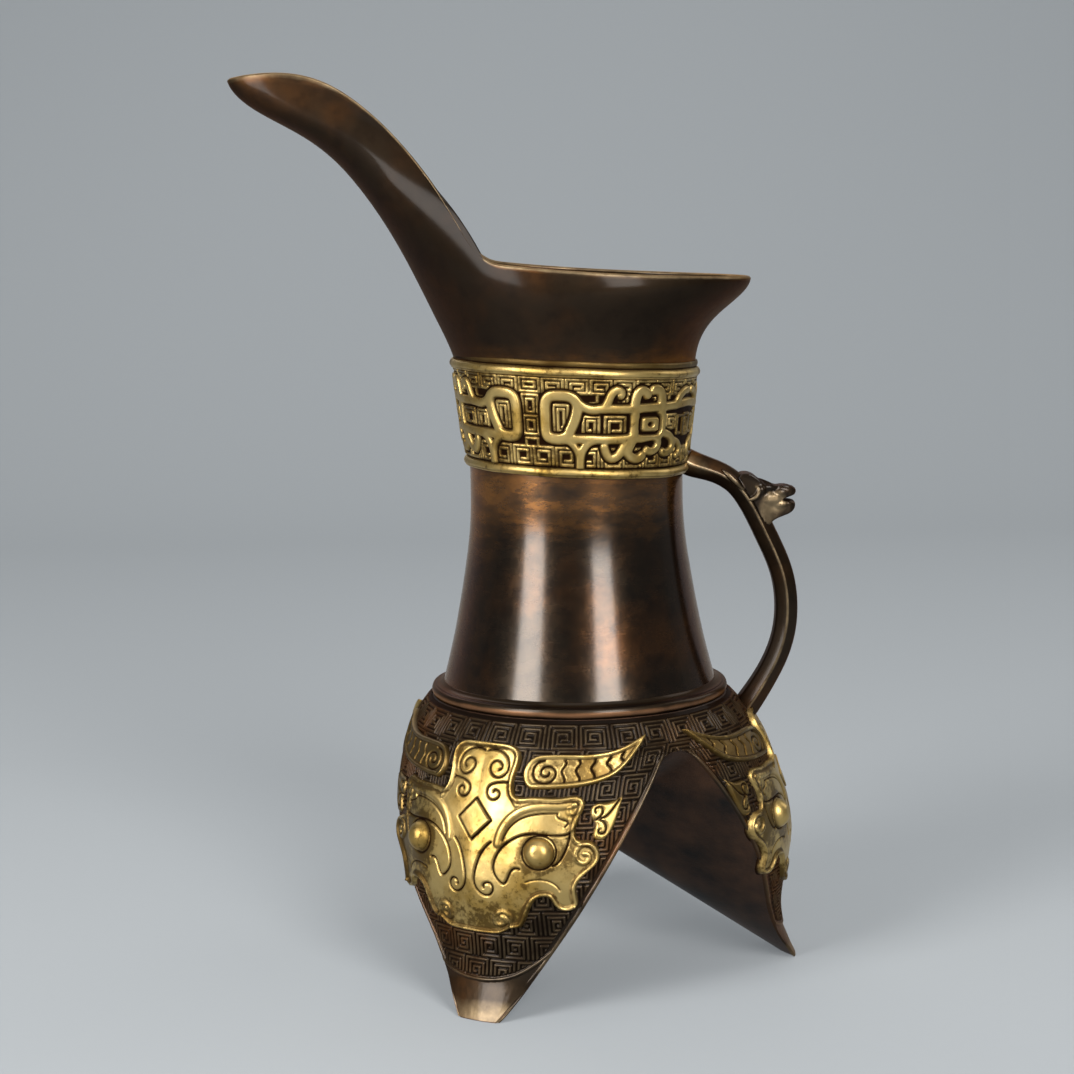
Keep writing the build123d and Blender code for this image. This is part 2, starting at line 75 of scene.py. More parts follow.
# Barrel: height and radius of the turned wall.
BARREL_PROFILE = (
    (78.5, 39.6), (84.0, 37.95), (90.0, 36.4), (96.0, 35.0), (102.0, 33.8), (108.0, 32.7),
    (114.0, 31.7), (120.0, 30.8), (126.0, 30.15), (132.0, 29.83), (137.0, 29.8), (143.3, 29.8),
)
BARREL_WALL = 2.4

# Base ring: the fillet by radius and height of its middle, half width and half height; the fine
# groove over it; how far the slope above goes in and up; both ends on the barrel.
BASE_FILLET = (41.0, 79.9, 0.85, 1.4)
BASE_GROOVE = ((40.95, 81.28), (40.72, 81.36), (40.62, 81.52))
BASE_SLOPE = (2.1, 1.1)
BASE_FOOT, BASE_TOP = (39.9, 78.55), (37.4, 82.55)

# Legs: height, radius of the middle and radius of the seams with the next leg.
LEG_SECTIONS = (
    (0.0, 61.2, 32.0), (7.85, 57.7, 36.0), (18.06, 56.4, 40.4), (34.54, 58.4, 47.6),
    (48.67, 56.8, 51.0), (60.45, 53.4, 50.4), (69.87, 48.6, 47.2), (78.5, 41.5, 41.5),
)
MASK_SHIFT = -2.2
FACE_FOOT, FACE_TOP = 0.15, 78.3
# The open arch of a leg ends between these heights.
ARCH_END = (66.5, 69.5)
# Thunder scrolls of the ground: the shoulder row, then width, height and line gap of the squares
# there and below, and the steps between the squares below.
SHOULDER_MIDDLE, SHOULDER_RADIUS, SHOULDER_SQUARES = 74.4, 45.0, 11
SHOULDER_SCROLL, GROUND_SCROLL = (7.4, 6.6, 1.2), (6.4, 6.0, 1.15)
GROUND_ROW_STEP, GROUND_COLUMN_STEP = 7.2, 7.6

# Mouth: height, spout side, tail side and half width of level oval sections; then the rim, seen
# from the side, and the height at which it climbs to the spout.
MOUTH_SECTIONS = (
    (162.0, -33.2, 33.2, 33.2), (174.0, -34.0, 34.0, 33.8), (184.05, -38.4, 39.9, 35.8),
    (195.0, -43.6, 49.1, 37.2), (205.95, -49.3, 30.0, 31.0), (221.88, -59.9, -14.0, 18.2),
    (235.54, -75.4, -36.0, 12.8), (242.0, -86.8, -46.0, 10.6), (247.0, -92.6, -53.5, 9.2),
    (252.9, -94.2, -60.0, 7.8),
)
MOUTH_RIM = (
    (-97.0, 249.5), (-81.5, 250.9), (-66.3, 247.7), (-56.6, 241.2), (-42.5, 226.2), (-32.5, 211.0),
    (-27.0, 202.4), (-18.5, 198.4), (10.0, 195.8), (48.4, 194.0), (60.4, 193.5),
)
RIM_CLIMB = 199.0
MOUTH_WALL, MOUTH_LIFT, MOUTH_SINK = 1.8, 1.5, 0.6

# Handle: the bow of the strap, seen from the side, and the corners of its section.
STRAP_BOW = (
    (30.5, 143.4), (36.5, 141.0), (45.0, 136.2), (53.0, 122.6), (57.6, 111.5),
    (59.0, 101.0), (57.4, 90.5), (52.4, 80.0), (46.0, 70.5),
)
STRAP_SECTION = ((4.5, 0.0), (2.3, 3.1), (-2.3, 3.1), (-4.5, 0.0), (-2.3, -3.1), (2.3, -3.1))
# Beast head, as bars of given points and radii: laid-back ears, cheek crescents, brows, both lips,
# the cheek between them, nostrils, crest and bridge of the nose. Bars off the middle are paired.
HEAD_BARS = (
    (((46.6, 3.9, 135.0), (44.6, 4.2, 137.2), (42.6, 4.1, 139.2), (40.4, 3.4, 140.9)),
     (0.5, 1.05, 1.0, 0.4)),
    (((50.2, 3.9, 136.0), (50.9, 4.2, 134.4), (50.0, 4.4, 133.0), (47.9, 4.4, 132.2)),
     (0.4, 0.75, 0.75, 0.4)),
    (((56.6, 2.2, 135.3), (54.6, 3.0, 135.5), (52.6, 3.2, 135.7), (50.4, 2.9, 136.6)),
     (0.5, 0.8, 0.8, 0.5)),
    (((55.5, 2.0, 134.0), (57.6, 2.1, 134.0), (59.6, 1.6, 134.0), (61.1, 0.8, 134.0)),
     (1.2, 1.4, 1.3, 1.0)),
    (((55.5, 1.9, 130.7), (57.6, 2.0, 130.6), (59.6, 1.5, 130.7), (61.0, 0.7, 130.8)),
     (1.2, 1.4, 1.25, 0.9)),
    (((51.0, 1.7, 132.0), (53.6, 1.4, 132.3), (56.2, 1.1, 132.3), (58.6, 0.8, 132.3)),
     (2.4, 2.9, 2.6, 1.4)),
    (((59.8, 1.1, 134.9), (60.5, 1.3, 134.9), (61.0, 1.1, 134.7), (61.2, 0.8, 134.4)),
     (0.5, 0.8, 0.75, 0.4)),
    (((55.0, 0.0, 135.7), (52.0, 0.0, 136.6), (48.6, 0.0, 137.5), (44.6, 0.0, 139.6)),
     (0.7, 1.2, 1.2, 0.7)),
    (((55.0, 0.0, 135.2), (57.0, 0.0, 135.3), (59.0, 0.0, 135.2), (60.8, 0.0, 134.8)),
     (0.8, 0.9, 0.9, 0.7)),
)

# One neck dragon, read along the band from the line that mirrors it in its partner: half the
# width of the stroke, then its points as distance along the band and height above its middle. The
# eye follows: its middle, half its width and half its height.
DRAGON_STROKES = (
    (1.49, (10.6, -2.0), (9.3, -3.8), (6.8, -4.3), (4.8, -3.8), (4.2, -2.8), (4.1, 1.7), (4.3, 5.3),
     (5.5, 7.0), (8.3, 7.4), (10.9, 7.1), (12.4, 5.8), (12.6, 3.8), (11.9, 0.9), (10.6, -2.0)),
    (1.26, (12.4, 5.8), (14.2, 4.6), (16.5, 3.9), (19.6, 4.2), (23.9, 4.2), (28.3, 4.3),
     (33.1, 4.6), (38.6, 4.8), (45.2, 5.3), (50.6, 5.7)),
    (1.26, (4.7, -3.9), (7.8, -4.4), (11.4, -4.2), (16.0, -4.1), (21.2, -4.1), (25.5, -3.9),
     (28.3, -3.6)),
    (0.98, (9.9, -4.5), (11.8, -6.2), (12.9, -8.4), (13.3, -11.6)),
    (1.15, (16.8, -4.4), (14.7, -6.0), (13.6, -8.4), (13.3, -11.6)),
    (1.15, (19.9, 4.5), (20.9, 6.4), (21.7, 8.2), (23.0, 9.3), (24.2, 8.9), (24.2, 7.9)),
    (1.40, (32.0, 8.2), (30.9, 9.1), (29.6, 9.0), (28.7, 7.4), (28.4, 4.3), (28.6, 0.7),
     (28.3, -3.0), (27.5, -5.4), (26.4, -7.3)),
    (1.45, (34.2, 9.4), (36.0, 9.2), (37.1, 7.6), (37.3, 4.6), (37.8, 1.7), (37.6, -1.5),
     (36.6, -3.0)),
    (1.17, (28.6, -3.6), (32.5, -3.5), (35.2, -3.3), (36.7, -4.5), (36.4, -6.3), (34.6, -7.3),
     (32.9, -6.9)),
    (1.16, (37.3, -2.3), (40.5, -2.8), (42.7, -4.4), (42.9, -6.4), (41.0, -7.8), (39.0, -7.6)),
    (1.33, (27.9, -4.0), (26.8, -6.3), (27.3, -8.3), (29.4, -9.2), (31.3, -8.4)),
    (1.26, (26.6, -4.6), (25.1, -6.8), (23.6, -8.6), (21.8, -9.1), (20.6, -7.9), (20.0, -6.2)),
    (1.16, (43.4, 5.1), (44.5, 7.0), (46.7, 8.6), (49.0, 9.1)),
    (0.94, (43.7, -4.6), (46.4, -5.7), (47.3, -7.5), (45.7, -8.9)),
)
DRAGON_EYE = (33.5, 0.1, 2.9, 2.0)
# Thunder scrolls on the ground of the band: middle along the band, middle height, width, height.
BAND_SCROLLS = (
    [(6.3125 * n, 10.0, 5.3, 3.6) for n in range(9)]
    + [(3.156 + 6.3125 * n, -9.0, 5.3, 4.6) for n in range(8)]
    + [(0.0, 4.9, 4.2, 4.6), (0.0, -0.9, 4.2, 4.8), (0.0, -5.6, 3.4, 2.2), (8.3, 1.3, 3.8, 7.0)]
    + [(16.3, -0.4, 4.2, 4.8), (22.9, -0.4, 5.6, 4.8), (42.0, 0.6, 4.2, 3.6)]
    + [(50.5, -0.4, 3.6, 5.6), (46.6, -0.4, 3.0, 4.8)]
    + [(15.4, 6.9, 5.0, 2.8), (25.6, 6.6, 3.4, 3.4), (33.2, 6.2, 3.4, 2.8), (42.6, 6.9, 4.8, 2.8)]
)

# Beast mask: half outlines and lines as distance from the mask's middle and height. Rolls and
# grooves start with half their width and their rise or sink; the eye ends with its radius.
FACE_EDGE = (
    (0.0, 72.4), (5.7, 72.3), (8.6, 71.6), (10.2, 69.4), (9.9, 65.2), (10.2, 61.1), (11.8, 60.1),
    (15.0, 60.4), (21.2, 60.3), (25.6, 60.7), (27.5, 58.9), (26.9, 55.4), (26.2, 52.0),
    (26.9, 49.8), (29.0, 49.5), (31.1, 47.2), (31.1, 43.8), (29.2, 41.2), (27.4, 39.0),
    (26.6, 36.8), (26.7, 33.0), (25.3, 31.0), (23.0, 30.8), (21.2, 32.6), (20.3, 34.3),
    (18.2, 34.3), (16.5, 32.4), (15.1, 29.0), (13.0, 25.8), (10.6, 25.4), (8.0, 23.8), (4.0, 23.4),
    (0.0, 23.3),
)
FACE_ROLLS = (
    (0.62, 0.55, (8.5, 28.9), (9.5, 28.4), (8.7, 26.9), (6.9, 27.0), (7.0, 29.3), (9.0, 30.4),
     (10.8, 29.3), (10.9, 27.0), (12.4, 26.9), (14.1, 29.7), (15.5, 33.2), (17.8, 35.4),
     (20.8, 35.5), (21.9, 33.2), (23.2, 31.8), (25.4, 32.2)),
    (0.62, 0.5, (0.0, 24.4), (5.0, 24.4), (8.5, 25.0), (10.9, 26.7)),
    (0.66, 0.6, (28.2, 46.1), (29.1, 44.9), (28.1, 43.7), (26.7, 44.5), (26.4, 46.9), (28.3, 48.5),
     (30.3, 46.8), (30.3, 44.0), (28.6, 41.8), (26.5, 39.6), (25.6, 36.8), (25.8, 32.6)),
    (0.7, 0.55, (0.0, 71.6), (5.7, 71.4), (8.4, 70.5), (9.4, 68.7), (9.1, 65.2), (9.5, 61.1),
     (11.5, 57.9)),
    (1.0, 0.5, (7.4, 48.0), (8.6, 52.6), (11.7, 56.0), (16.2, 57.7), (21.4, 58.0), (25.2, 58.6)),
    (0.7, 0.35, (25.2, 58.4), (26.0, 57.0), (24.8, 56.2), (24.2, 57.4)),
    (0.6, 0.3, (24.4, 50.6), (25.2, 53.2), (24.6, 55.0)),
)
FACE_GROOVES = (
    (0.34, 0.55, (0.5, 70.3), (4.1, 70.4), (6.8, 68.6), (7.2, 65.6), (5.3, 64.2), (2.9, 65.2),
     (2.5, 67.2), (4.1, 68.1), (5.6, 67.1), (5.0, 66.0)),
    (0.34, 0.55, (8.1, 63.3), (4.9, 62.9), (2.8, 61.6), (3.0, 59.6), (5.0, 58.8), (6.3, 60.1),
     (5.4, 61.2), (4.5, 60.7)),
    (0.36, 0.6, (5.4, 48.2), (3.0, 45.1), (1.6, 41.0), (1.4, 37.4), (3.1, 34.9), (5.3, 34.5),
     (6.5, 36.2), (5.7, 37.7), (4.2, 37.5), (4.0, 36.4)),
    (0.36, 0.6, (24.8, 51.3), (20.9, 50.7), (14.8, 50.8), (11.0, 49.2), (7.9, 46.2), (6.5, 42.3),
     (7.3, 39.5), (9.5, 37.9), (10.9, 40.4), (13.5, 41.9)),
    (0.34, 0.5, (24.8, 51.3), (24.3, 47.5), (22.6, 43.8), (21.3, 43.1)),
    (0.3, 0.45, (8.6, 48.9), (10.2, 52.3), (13.0, 54.7), (17.3, 56.0), (21.6, 56.2)),
    (0.3, 0.4, (21.6, 56.2), (22.3, 54.9), (24.0, 54.2), (23.6, 52.8)),
    (0.26, 0.3, (15.0, 38.6), (18.0, 39.4), (21.0, 38.8), (23.0, 36.6)),
)
JEWEL = ((4.9, 53.6), (0.0, 58.8), (-4.9, 53.6), (0.0, 48.4))
EYE = (18.1, 46.3, 4.2)
HORN_EDGE = (
    (14.4, 61.9), (23.0, 62.3), (30.4, 63.8), (34.4, 67.6), (35.9, 74.0), (34.6, 73.2),
    (32.2, 71.5), (26.0, 70.3), (15.0, 70.0), (12.4, 68.4), (11.6, 66.0), (12.4, 63.4),
    (14.4, 61.9),
)
HORN_BARS = (
    ((21.0, 69.0), (21.5, 67.6), (21.0, 66.4), (21.7, 65.0), (21.9, 63.2)),
    ((24.2, 69.0), (24.7, 67.8), (24.2, 66.6), (25.0, 65.2), (25.2, 63.5)),
    ((27.4, 69.4), (27.8, 68.2), (27.4, 67.0), (28.1, 65.8), (28.3, 64.1)),
    ((30.2, 70.2), (30.8, 69.2), (30.4, 68.0), (31.2, 67.0), (31.4, 65.4)),
    ((32.6, 71.2), (33.1, 70.2), (32.9, 69.2), (33.5, 68.4), (33.8, 67.2)),
)
HORN_SPIRAL = (
    (18.1, 65.9), (17.5, 65.0), (16.2, 65.6), (16.5, 67.1), (18.5, 67.2), (19.7, 65.6),
    (18.8, 63.8), (16.4, 63.5), (14.4, 65.0), (14.3, 67.4), (16.4, 68.7),
)
EAR_EDGE = (
    (35.0, 60.5), (34.6, 55.6), (33.2, 50.6), (31.4, 48.9), (29.6, 50.2), (29.9, 53.0),
    (28.8, 55.4), (29.2, 58.4), (31.4, 58.8), (33.2, 59.2), (35.0, 60.5),
)
EAR_GROOVES = (
    ((29.9, 56.3), (30.0, 57.5), (31.0, 57.5), (31.3, 56.2), (30.6, 54.9), (29.8, 54.4)),
    ((31.1, 54.8), (32.5, 55.8), (33.6, 57.8), (34.3, 59.2)),
    ((30.9, 54.4), (32.2, 52.8), (32.0, 51.2), (31.0, 51.1), (30.9, 52.0)),
)
TOE_BORDER = ((0.0, 10.2), (5.7, 10.6), (11.0, 12.2), (15.6, 15.2), (19.6, 18.8), (24.0, 24.0))

# Stage: soft boxes by name, bearing, rise, distance, width, height and power. Two tall ones give
# the paired strips on the barrel, and broad ones fill from above, from the side and from the back.
LAMPS = (
    ("strip_left", -138.0, 22.0, 1.15, 0.46, 1.0, 24.0),
    ("strip_right", -68.0, 25.0, 1.25, 0.44, 0.95, 22.5),
    ("overhead", -60.0, 80.0, 1.5, 1.0, 1.0, 4.0),
    ("side", 20.0, 30.0, 1.4, 0.7, 1.0, 4.0),
    ("back", 100.0, 48.0, 1.5, 1.2, 1.2, 7.0),
)
PAPER_LIFT, ROOM_STRENGTH = 0.62, 0.25


# Small tools

def linear(hex_colour):
    """A colour written as sRGB hex, as the linear values that shaders take."""
    parts = [int(hex_colour.lstrip("#")[n:n + 2], 16) / 255 for n in (0, 2, 4)]
    return [p / 12.92 if p <= 0.04045 else ((p + 0.055) / 1.055) ** 2.4 for p in parts] + [1.0]


def smooth_through(knots, values):
    """A curve of even bend through given values, as a function of the knot."""
    x, y = np.asarray(knots, float), np.asarray(values, float)
    count, gap = len(x), np.diff(x)
    rows, right = np.zeros((count, count)), np.zeros(count)
    for n in range(1, count - 1):
        rows[n, n - 1:n + 2] = gap[n - 1], 2 * (gap[n - 1] + gap[n]), gap[n]
        right[n] = 6 * ((y[n + 1] - y[n]) / gap[n] - (y[n] - y[n - 1]) / gap[n - 1])
    rows[0, :3] = gap[1], -(gap[0] + gap[1]), gap[0]
    rows[-1, -3:] = gap[-1], -(gap[-2] + gap[-1]), gap[-2]
    bend = np.linalg.solve(rows, right)

    def at(spot):
        spot = np.asarray(spot, float)
        n = np.clip(np.searchsorted(x, spot) - 1, 0, count - 2)
        before, after, width = x[n + 1] - spot, spot - x[n], gap[n]
        return (
            (bend[n] * before**3 + bend[n + 1] * after**3) / (6 * width)
            + (y[n] / width - bend[n] * width / 6) * before
            + (y[n + 1] / width - bend[n + 1] * width / 6) * after
        )

    return at


def flowing(points, step=0.4):
    """A flowing line through drawn points, divided into short steps."""
    points = np.asarray(points, float)
    if len(points) < 4:
        return points
    gaps = np.linalg.norm(np.diff(points, axis=0), axis=1)
    along = np.concatenate(([0], np.cumsum(np.sqrt(gaps))))
    spots = np.linspace(0, along[-1], max(int(gaps.sum() / step), 4))
    return np.column_stack([smooth_through(along, axis)(spots) for axis in points.T])


def ramp(value, low, high):
    """0 below low, 1 above high and a smooth rise between."""
    share = np.clip((value - low) / (high - low), 0, 1)
    return share * share * (3 - 2 * share)


def bell(value, middle, width):
    """1 at the middle, falling off smoothly over the width."""
    return np.exp(-((value - middle) / width) ** 2)


def rolled(away, half_width):
    """Height of a round roll at a distance from its crest line, as a share of the crest."""
    return np.sqrt(np.clip(1 - (away / half_width) ** 2, 0, 1))


def unit(vectors):
    """Vectors brought to length 1."""
    return vectors / np.maximum(np.linalg.norm(vectors, axis=-1, keepdims=True), 1e-9)


def full_turn(count):
    """Evenly spaced angles once round."""
    return np.arange(count) * 2 * math.pi / count


def near(spots, line, reach):
    """Distance from each spot to a line, up to a reach."""
    found = np.full(len(spots), float(reach))
    boxed = (spots > line.min(0) - reach) & (spots < line.max(0) + reach)
    picked = np.flatnonzero(np.all(boxed, axis=1))
    close = np.full(len(picked), float(reach))
    here = spots[picked]
    for start, end in zip(line[:-1], line[1:]):
        run = end - start
        share = np.clip(((here - start) @ run) / max(run @ run, 1e-9), 0, 1)
        close = np.minimum(close, np.linalg.norm(here - start - share[:, None] * run, axis=1))
    found[picked] = close
    return found


def inside(spots, loop, reach=2.5):
    """Distance from the edge of a closed outline: positive within it, negative outside."""
    within = np.zeros(len(spots), bool)
    for (x0, y0), (x1, y1) in zip(loop, np.roll(loop, -1, axis=0)):
        if y0 != y1:
            crosses = (y0 > spots[:, 1]) != (y1 > spots[:, 1])
            within ^= crosses & (spots[:, 0] < x0 + (spots[:, 1] - y0) * (x1 - x0) / (y1 - y0))
    edge = near(spots, np.vstack((loop, loop[:1])), reach)
    return np.where(within, edge, -edge)


def scroll(width, height, gap, sense):
    """A square spiral, the thunder scroll of cast bronzes, as a line about its own middle."""
    x0, x1, y0, y1 = -width / 2, width / 2, -height / 2, height / 2
    line = [(x0, y0)]
    while x1 - x0 > 0.8 * gap and y1 - y0 > 0.8 * gap:
        line += [(x0, y1), (x1, y1), (x1, y0), (x0 + gap, y0)]
        x0, x1, y0, y1 = x0 + gap, x1 - gap, y0 + gap, y1 - gap
        line += [(x0, y0)]
    return np.array(line[:-1]) * (sense, 1)


def hand_work(spots, scale):
    """Soft unevenness of hand-finished metal, between -1 and 1."""
    x, y = spots[..., 0] / scale, spots[..., 1] / scale
    return (
        np.sin(1.7 * x + 0.9 * np.sin(1.3 * y)) + np.sin(2.3 * y - 1.1 * np.sin(0.9 * x + 1.0))
        + 0.6 * np.sin(3.1 * (x + y) + 0.5)
    ) / 2.6


def grid_quads(rows, columns, around=False, keep=None):
    """Four-sided faces of a grid of points, closed round the columns where asked."""
    spot = np.arange(rows * columns).reshape(rows, columns)
    if around:
        spot = np.column_stack((spot, spot[:, :1]))
    corners = (spot[:-1, :-1], spot[:-1, 1:], spot[1:, 1:], spot[1:, :-1])
    quads = np.stack(corners, axis=-1).reshape(-1, 4)
    if keep is not None:
        quads = quads[keep.ravel()[quads].all(axis=1)]
    return quads


def outward(grid):
    """Unit normals of a grid of points."""
    return unit(np.cross(np.gradient(grid, axis=1), np.gradient(grid, axis=0)))


def leaning(points, height):
    """Points drawn square to the axis, moved to a neck plane at that height."""
    x, y, z = points[..., 0], points[..., 1], points[..., 2]
    cos, sin = math.cos(NECK_LEAN), math.sin(NECK_LEAN)
    return np.stack((cos * x + sin * z, y, height - sin * x + cos * z), axis=-1)


def turned(profile, columns):
    """Points of a profile (radius, height) turned round the axis: one row to each profile point."""
    angle = full_turn(columns)
    radius, height = np.asarray(profile, float).T
    rounds = np.outer(radius, np.cos(angle)), np.outer(radius, np.sin(angle))
    return np.stack((*rounds, np.outer(height, np.ones(columns))), axis=-1)


def set_marks(mesh, marks):
    """Keeps named values at each point of a mesh, for its material to read."""
    for name, values in marks.items():
        layer = mesh.attributes.new(name, "FLOAT", "POINT")
        layer.data.foreach_set("value", np.asarray(values, np.float32).ravel())


def mesh_piece(name, points, faces, slot, replaced=(), marks=None):
    """A smooth mesh piece in its place on the vessel, with the finish of its slot."""
    mesh = bpy.data.meshes.new(name)
    places = np.asarray(points, float).reshape(-1, 3) * MM
    mesh.from_pydata(places.tolist(), [], [list(f) for f in faces])
    mesh.polygons.foreach_set("use_smooth", [True] * len(mesh.polygons))
    set_marks(mesh, marks or {})
    mesh.materials.append(finish_of(slot))
    mesh.update()
    piece = bpy.data.objects.new(name, mesh)
    bpy.context.scene.collection.objects.link(piece)
    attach(piece, "root")
    if replaced:
        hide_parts(*replaced)
    return piece


def round_piece(name, grid, slot, replaced, marks):
    """A mesh piece from a grid of points that closes round its columns."""
    faces = grid_quads(*grid.shape[:2], around=True)
    return mesh_piece(name, grid, faces, slot, replaced, marks)


def drop_loose(piece):
    """Leaves out points that no face uses."""
    mesh = piece.data
    used = np.zeros(len(mesh.vertices), bool)
    corners = np.zeros(len(mesh.loops), np.int32)
    mesh.loops.foreach_get("vertex_index", corners)
    used[corners] = True
    if used.all():
        return
    work = bmesh.new()
    work.from_mesh(mesh)
    work.verts.ensure_lookup_table()
    loose = [v for v, on in zip(work.verts, used) if not on]
    bmesh.ops.delete(work, geom=loose, context="VERTS")
    work.to_mesh(mesh)
    work.free()


# Form of the legs

_leg_rows = np.array(LEG_SECTIONS)
leg_middle = smooth_through(_leg_rows[:, 0], _leg_rows[:, 1])
leg_seam = smooth_through(_leg_rows[:, 0], _leg_rows[:, 2])
_heights = np.linspace(0, LEG_SECTIONS[-1][0], 1500)
_steps = np.hypot(np.diff(_heights), np.diff(leg_middle(_heights)))
_slant = np.concatenate(([0], np.cumsum(_steps)))


def slant(height):
    """Length along the leg's face from the foot up to a height."""
    return np.interp(height, _heights, _slant)


def height_at(length):
    """Height reached at a length along the leg's face from the foot."""
    return np.interp(length, _slant, _heights)


def leg_arc(height):
    """Centre and radius of the arc that the leg's face has at a height."""
    middle, seam = leg_middle(height), leg_seam(height)
    centre = (middle**2 - seam**2) / (2 * middle - seam)
    return centre, middle - centre


def leg_points(across, height):
    """Points of the bare leg face at a distance along the arc, for the leg under the handle."""
    centre, radius = leg_arc(height)
    turn = across / radius
    return np.stack((centre + radius * np.cos(turn), radius * np.sin(turn), height), axis=-1)


def unrolled(points):
    """Drawn points (distance square to the leg, height) as lengths along the leg's face."""
    across, height = np.asarray(points, float).T
    radius = leg_arc(height)[1]
    return np.column_stack((radius * np.arcsin(np.clip(across / radius, -1, 1)), slant(height)))


def spun(points, azimuth):
    """Points turned about the axis of the cup."""
    cos, sin = math.cos(math.radians(azimuth)), math.sin(math.radians(azimuth))
    x, y, z = points[..., 0], points[..., 1], points[..., 2]
    return np.stack((cos * x - sin * y, sin * x + cos * y, z), axis=-1)


def search_tree(mesh):
    """A mesh, ready for nearest-point searches."""
    return BVHTree.FromPolygons(
        [v.co for v in mesh.vertices], [list(p.vertices) for p in mesh.polygons])


def packed_legs():
    """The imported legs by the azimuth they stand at, ready for nearest-point searches."""
    return {azimuth: search_tree(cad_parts["leg_" + place].data)
            for place, azimuth in LEGS.items()}


def proud_over(points, normals, trees):
    """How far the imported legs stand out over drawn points, evened out over their flat facets."""
    most, spread_steps, soften_steps = 0.9, 4, 14
    over = np.zeros(points.shape[:-1])
    for azimuth, tree in trees.items():
        spots = spun(points, azimuth).reshape(-1, 3) * MM
        found = np.array([tree.find_nearest(Vector(spot))[0] for spot in spots]) / MM
        found = spun(found, -azimuth).reshape(points.shape)
        over = np.maximum(over, ((found - points) * normals).sum(-1))
    over = np.minimum(over, most)
    for step in range(spread_steps + soften_steps):
        wide = np.pad(over, 1, mode="edge")
        beside = np.stack((wide[:-2, 1:-1], wide[2:, 1:-1], wide[1:-1, :-2], wide[1:-1, 2:]))
        # The facets' corners are spread first, then the whole is softened.
        if step < spread_steps:
            over = np.maximum(over, beside.max(axis=0))
        else:
            over = (4 * over + beside.sum(axis=0)) / 8
    return over


def leg_reach(heights, tree):
    """How far the leg's face goes each side at these heights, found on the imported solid."""
    nearest, furthest, on_solid, halvings = 2.0, 70.0, 0.45, 14
    reach = []
    for side in (-1, 1):
        low, high = np.full(len(heights), nearest), np.full(len(heights), furthest)
        for _ in range(halvings):
            middle = (low + high) / 2
            spots = leg_points(side * middle, heights) * MM
            on_face = np.array([tree.find_nearest(Vector(s))[3] < on_solid * MM for s in spots])
            low, high = np.where(on_face, middle, low), np.where(on_face, high, middle)
        reach.append(low)
    return reach


def mirrored_loop(half):
    """A closed outline from one half that starts and ends on the middle line."""
    half = np.asarray(half, float)
    return np.vstack((half, half[-2:0:-1] * (-1, 1)))


# Materials

MIX = {"data_type": "RGBA", "clamp_factor": True}
FACTOR, FIRST, SECOND, MIXED = 0, 6, 7, 2  # socket numbers of a colour mix


def put(tree, kind, settings=None, sockets=None):
    """Adds a node, with its settings and with values or links for its inputs."""
    made = tree.nodes.new(kind)
    for name, value in (settings or {}).items():
        setattr(made, name, value)
    for name, value in (sockets or {}).items():
        if isinstance(value, bpy.types.NodeSocket):
            tree.links.new(value, made.inputs[name])
        else:
            made.inputs[name].default_value = value
    return made


def new_material(name):
    """A material without nodes, its tree, and the place of a point on its piece."""
    material = bpy.data.materials.get(name) or bpy.data.materials.new(name)
    material.use_nodes = True
    tree = material.node_tree
    tree.nodes.clear()
    return material, tree, put(tree, "ShaderNodeTexCoord").outputs["Object"]


def close_material(material, tree, sockets):
    """Ends a material with its shader."""
    shader = put(tree, "ShaderNodeBsdfPrincipled", None, sockets)
    put(tree, "ShaderNodeOutputMaterial", None, {"Surface": shader.outputs[0]})
    return material


def mark(tree, name):
    """The values kept at each point under a name."""
    return put(tree, "ShaderNodeAttribute", {"attribute_name": name}).outputs["Fac"]


def noise(tree, place, size, detail, roughness=0.5):
    """Noise with features of about a size in metres."""
    return put(tree, "ShaderNodeTexNoise", None, {
        "Vector": place, "Scale": 1 / size, "Detail": detail, "Roughness": roughness,
    }).outputs["Fac"]


def mapped(tree, value, low, high, start=0.0, end=1.0, smooth=False):
    """A value's range from low to high, mapped to the range from start to end."""
    settings = {"interpolation_type": "SMOOTHSTEP"} if smooth else None
    return put(tree, "ShaderNodeMapRange", settings, {
        "Value": value, "From Min": low, "From Max": high, "To Min": start, "To Max": end,
    }).outputs[0]


def maths(tree, operation, *values):
    """One step of arithmetic."""
    return put(tree, "ShaderNodeMath", {"operation": operation}, dict(enumerate(values))).outputs[0]


def layered(tree, base, *layers):
    """A colour with others laid over it in turn, each as its share and its colour."""
    colour = linear(base)
    for share, over in layers:
        sockets = {FACTOR: share, FIRST: colour, SECOND: linear(over)}
        colour = put(tree, "ShaderNodeMix", MIX, sockets).outputs[MIXED]
    return colour


def bumped(tree, height, strength, distance, under=None):
    """A bump with a depth in metres, over another bump where one is given."""
    sockets = {"Height": height, "Strength": strength, "Distance": distance}
    if under is not None:
        sockets["Normal"] = under
    return put(tree, "ShaderNodeBump", None, sockets).outputs[0]


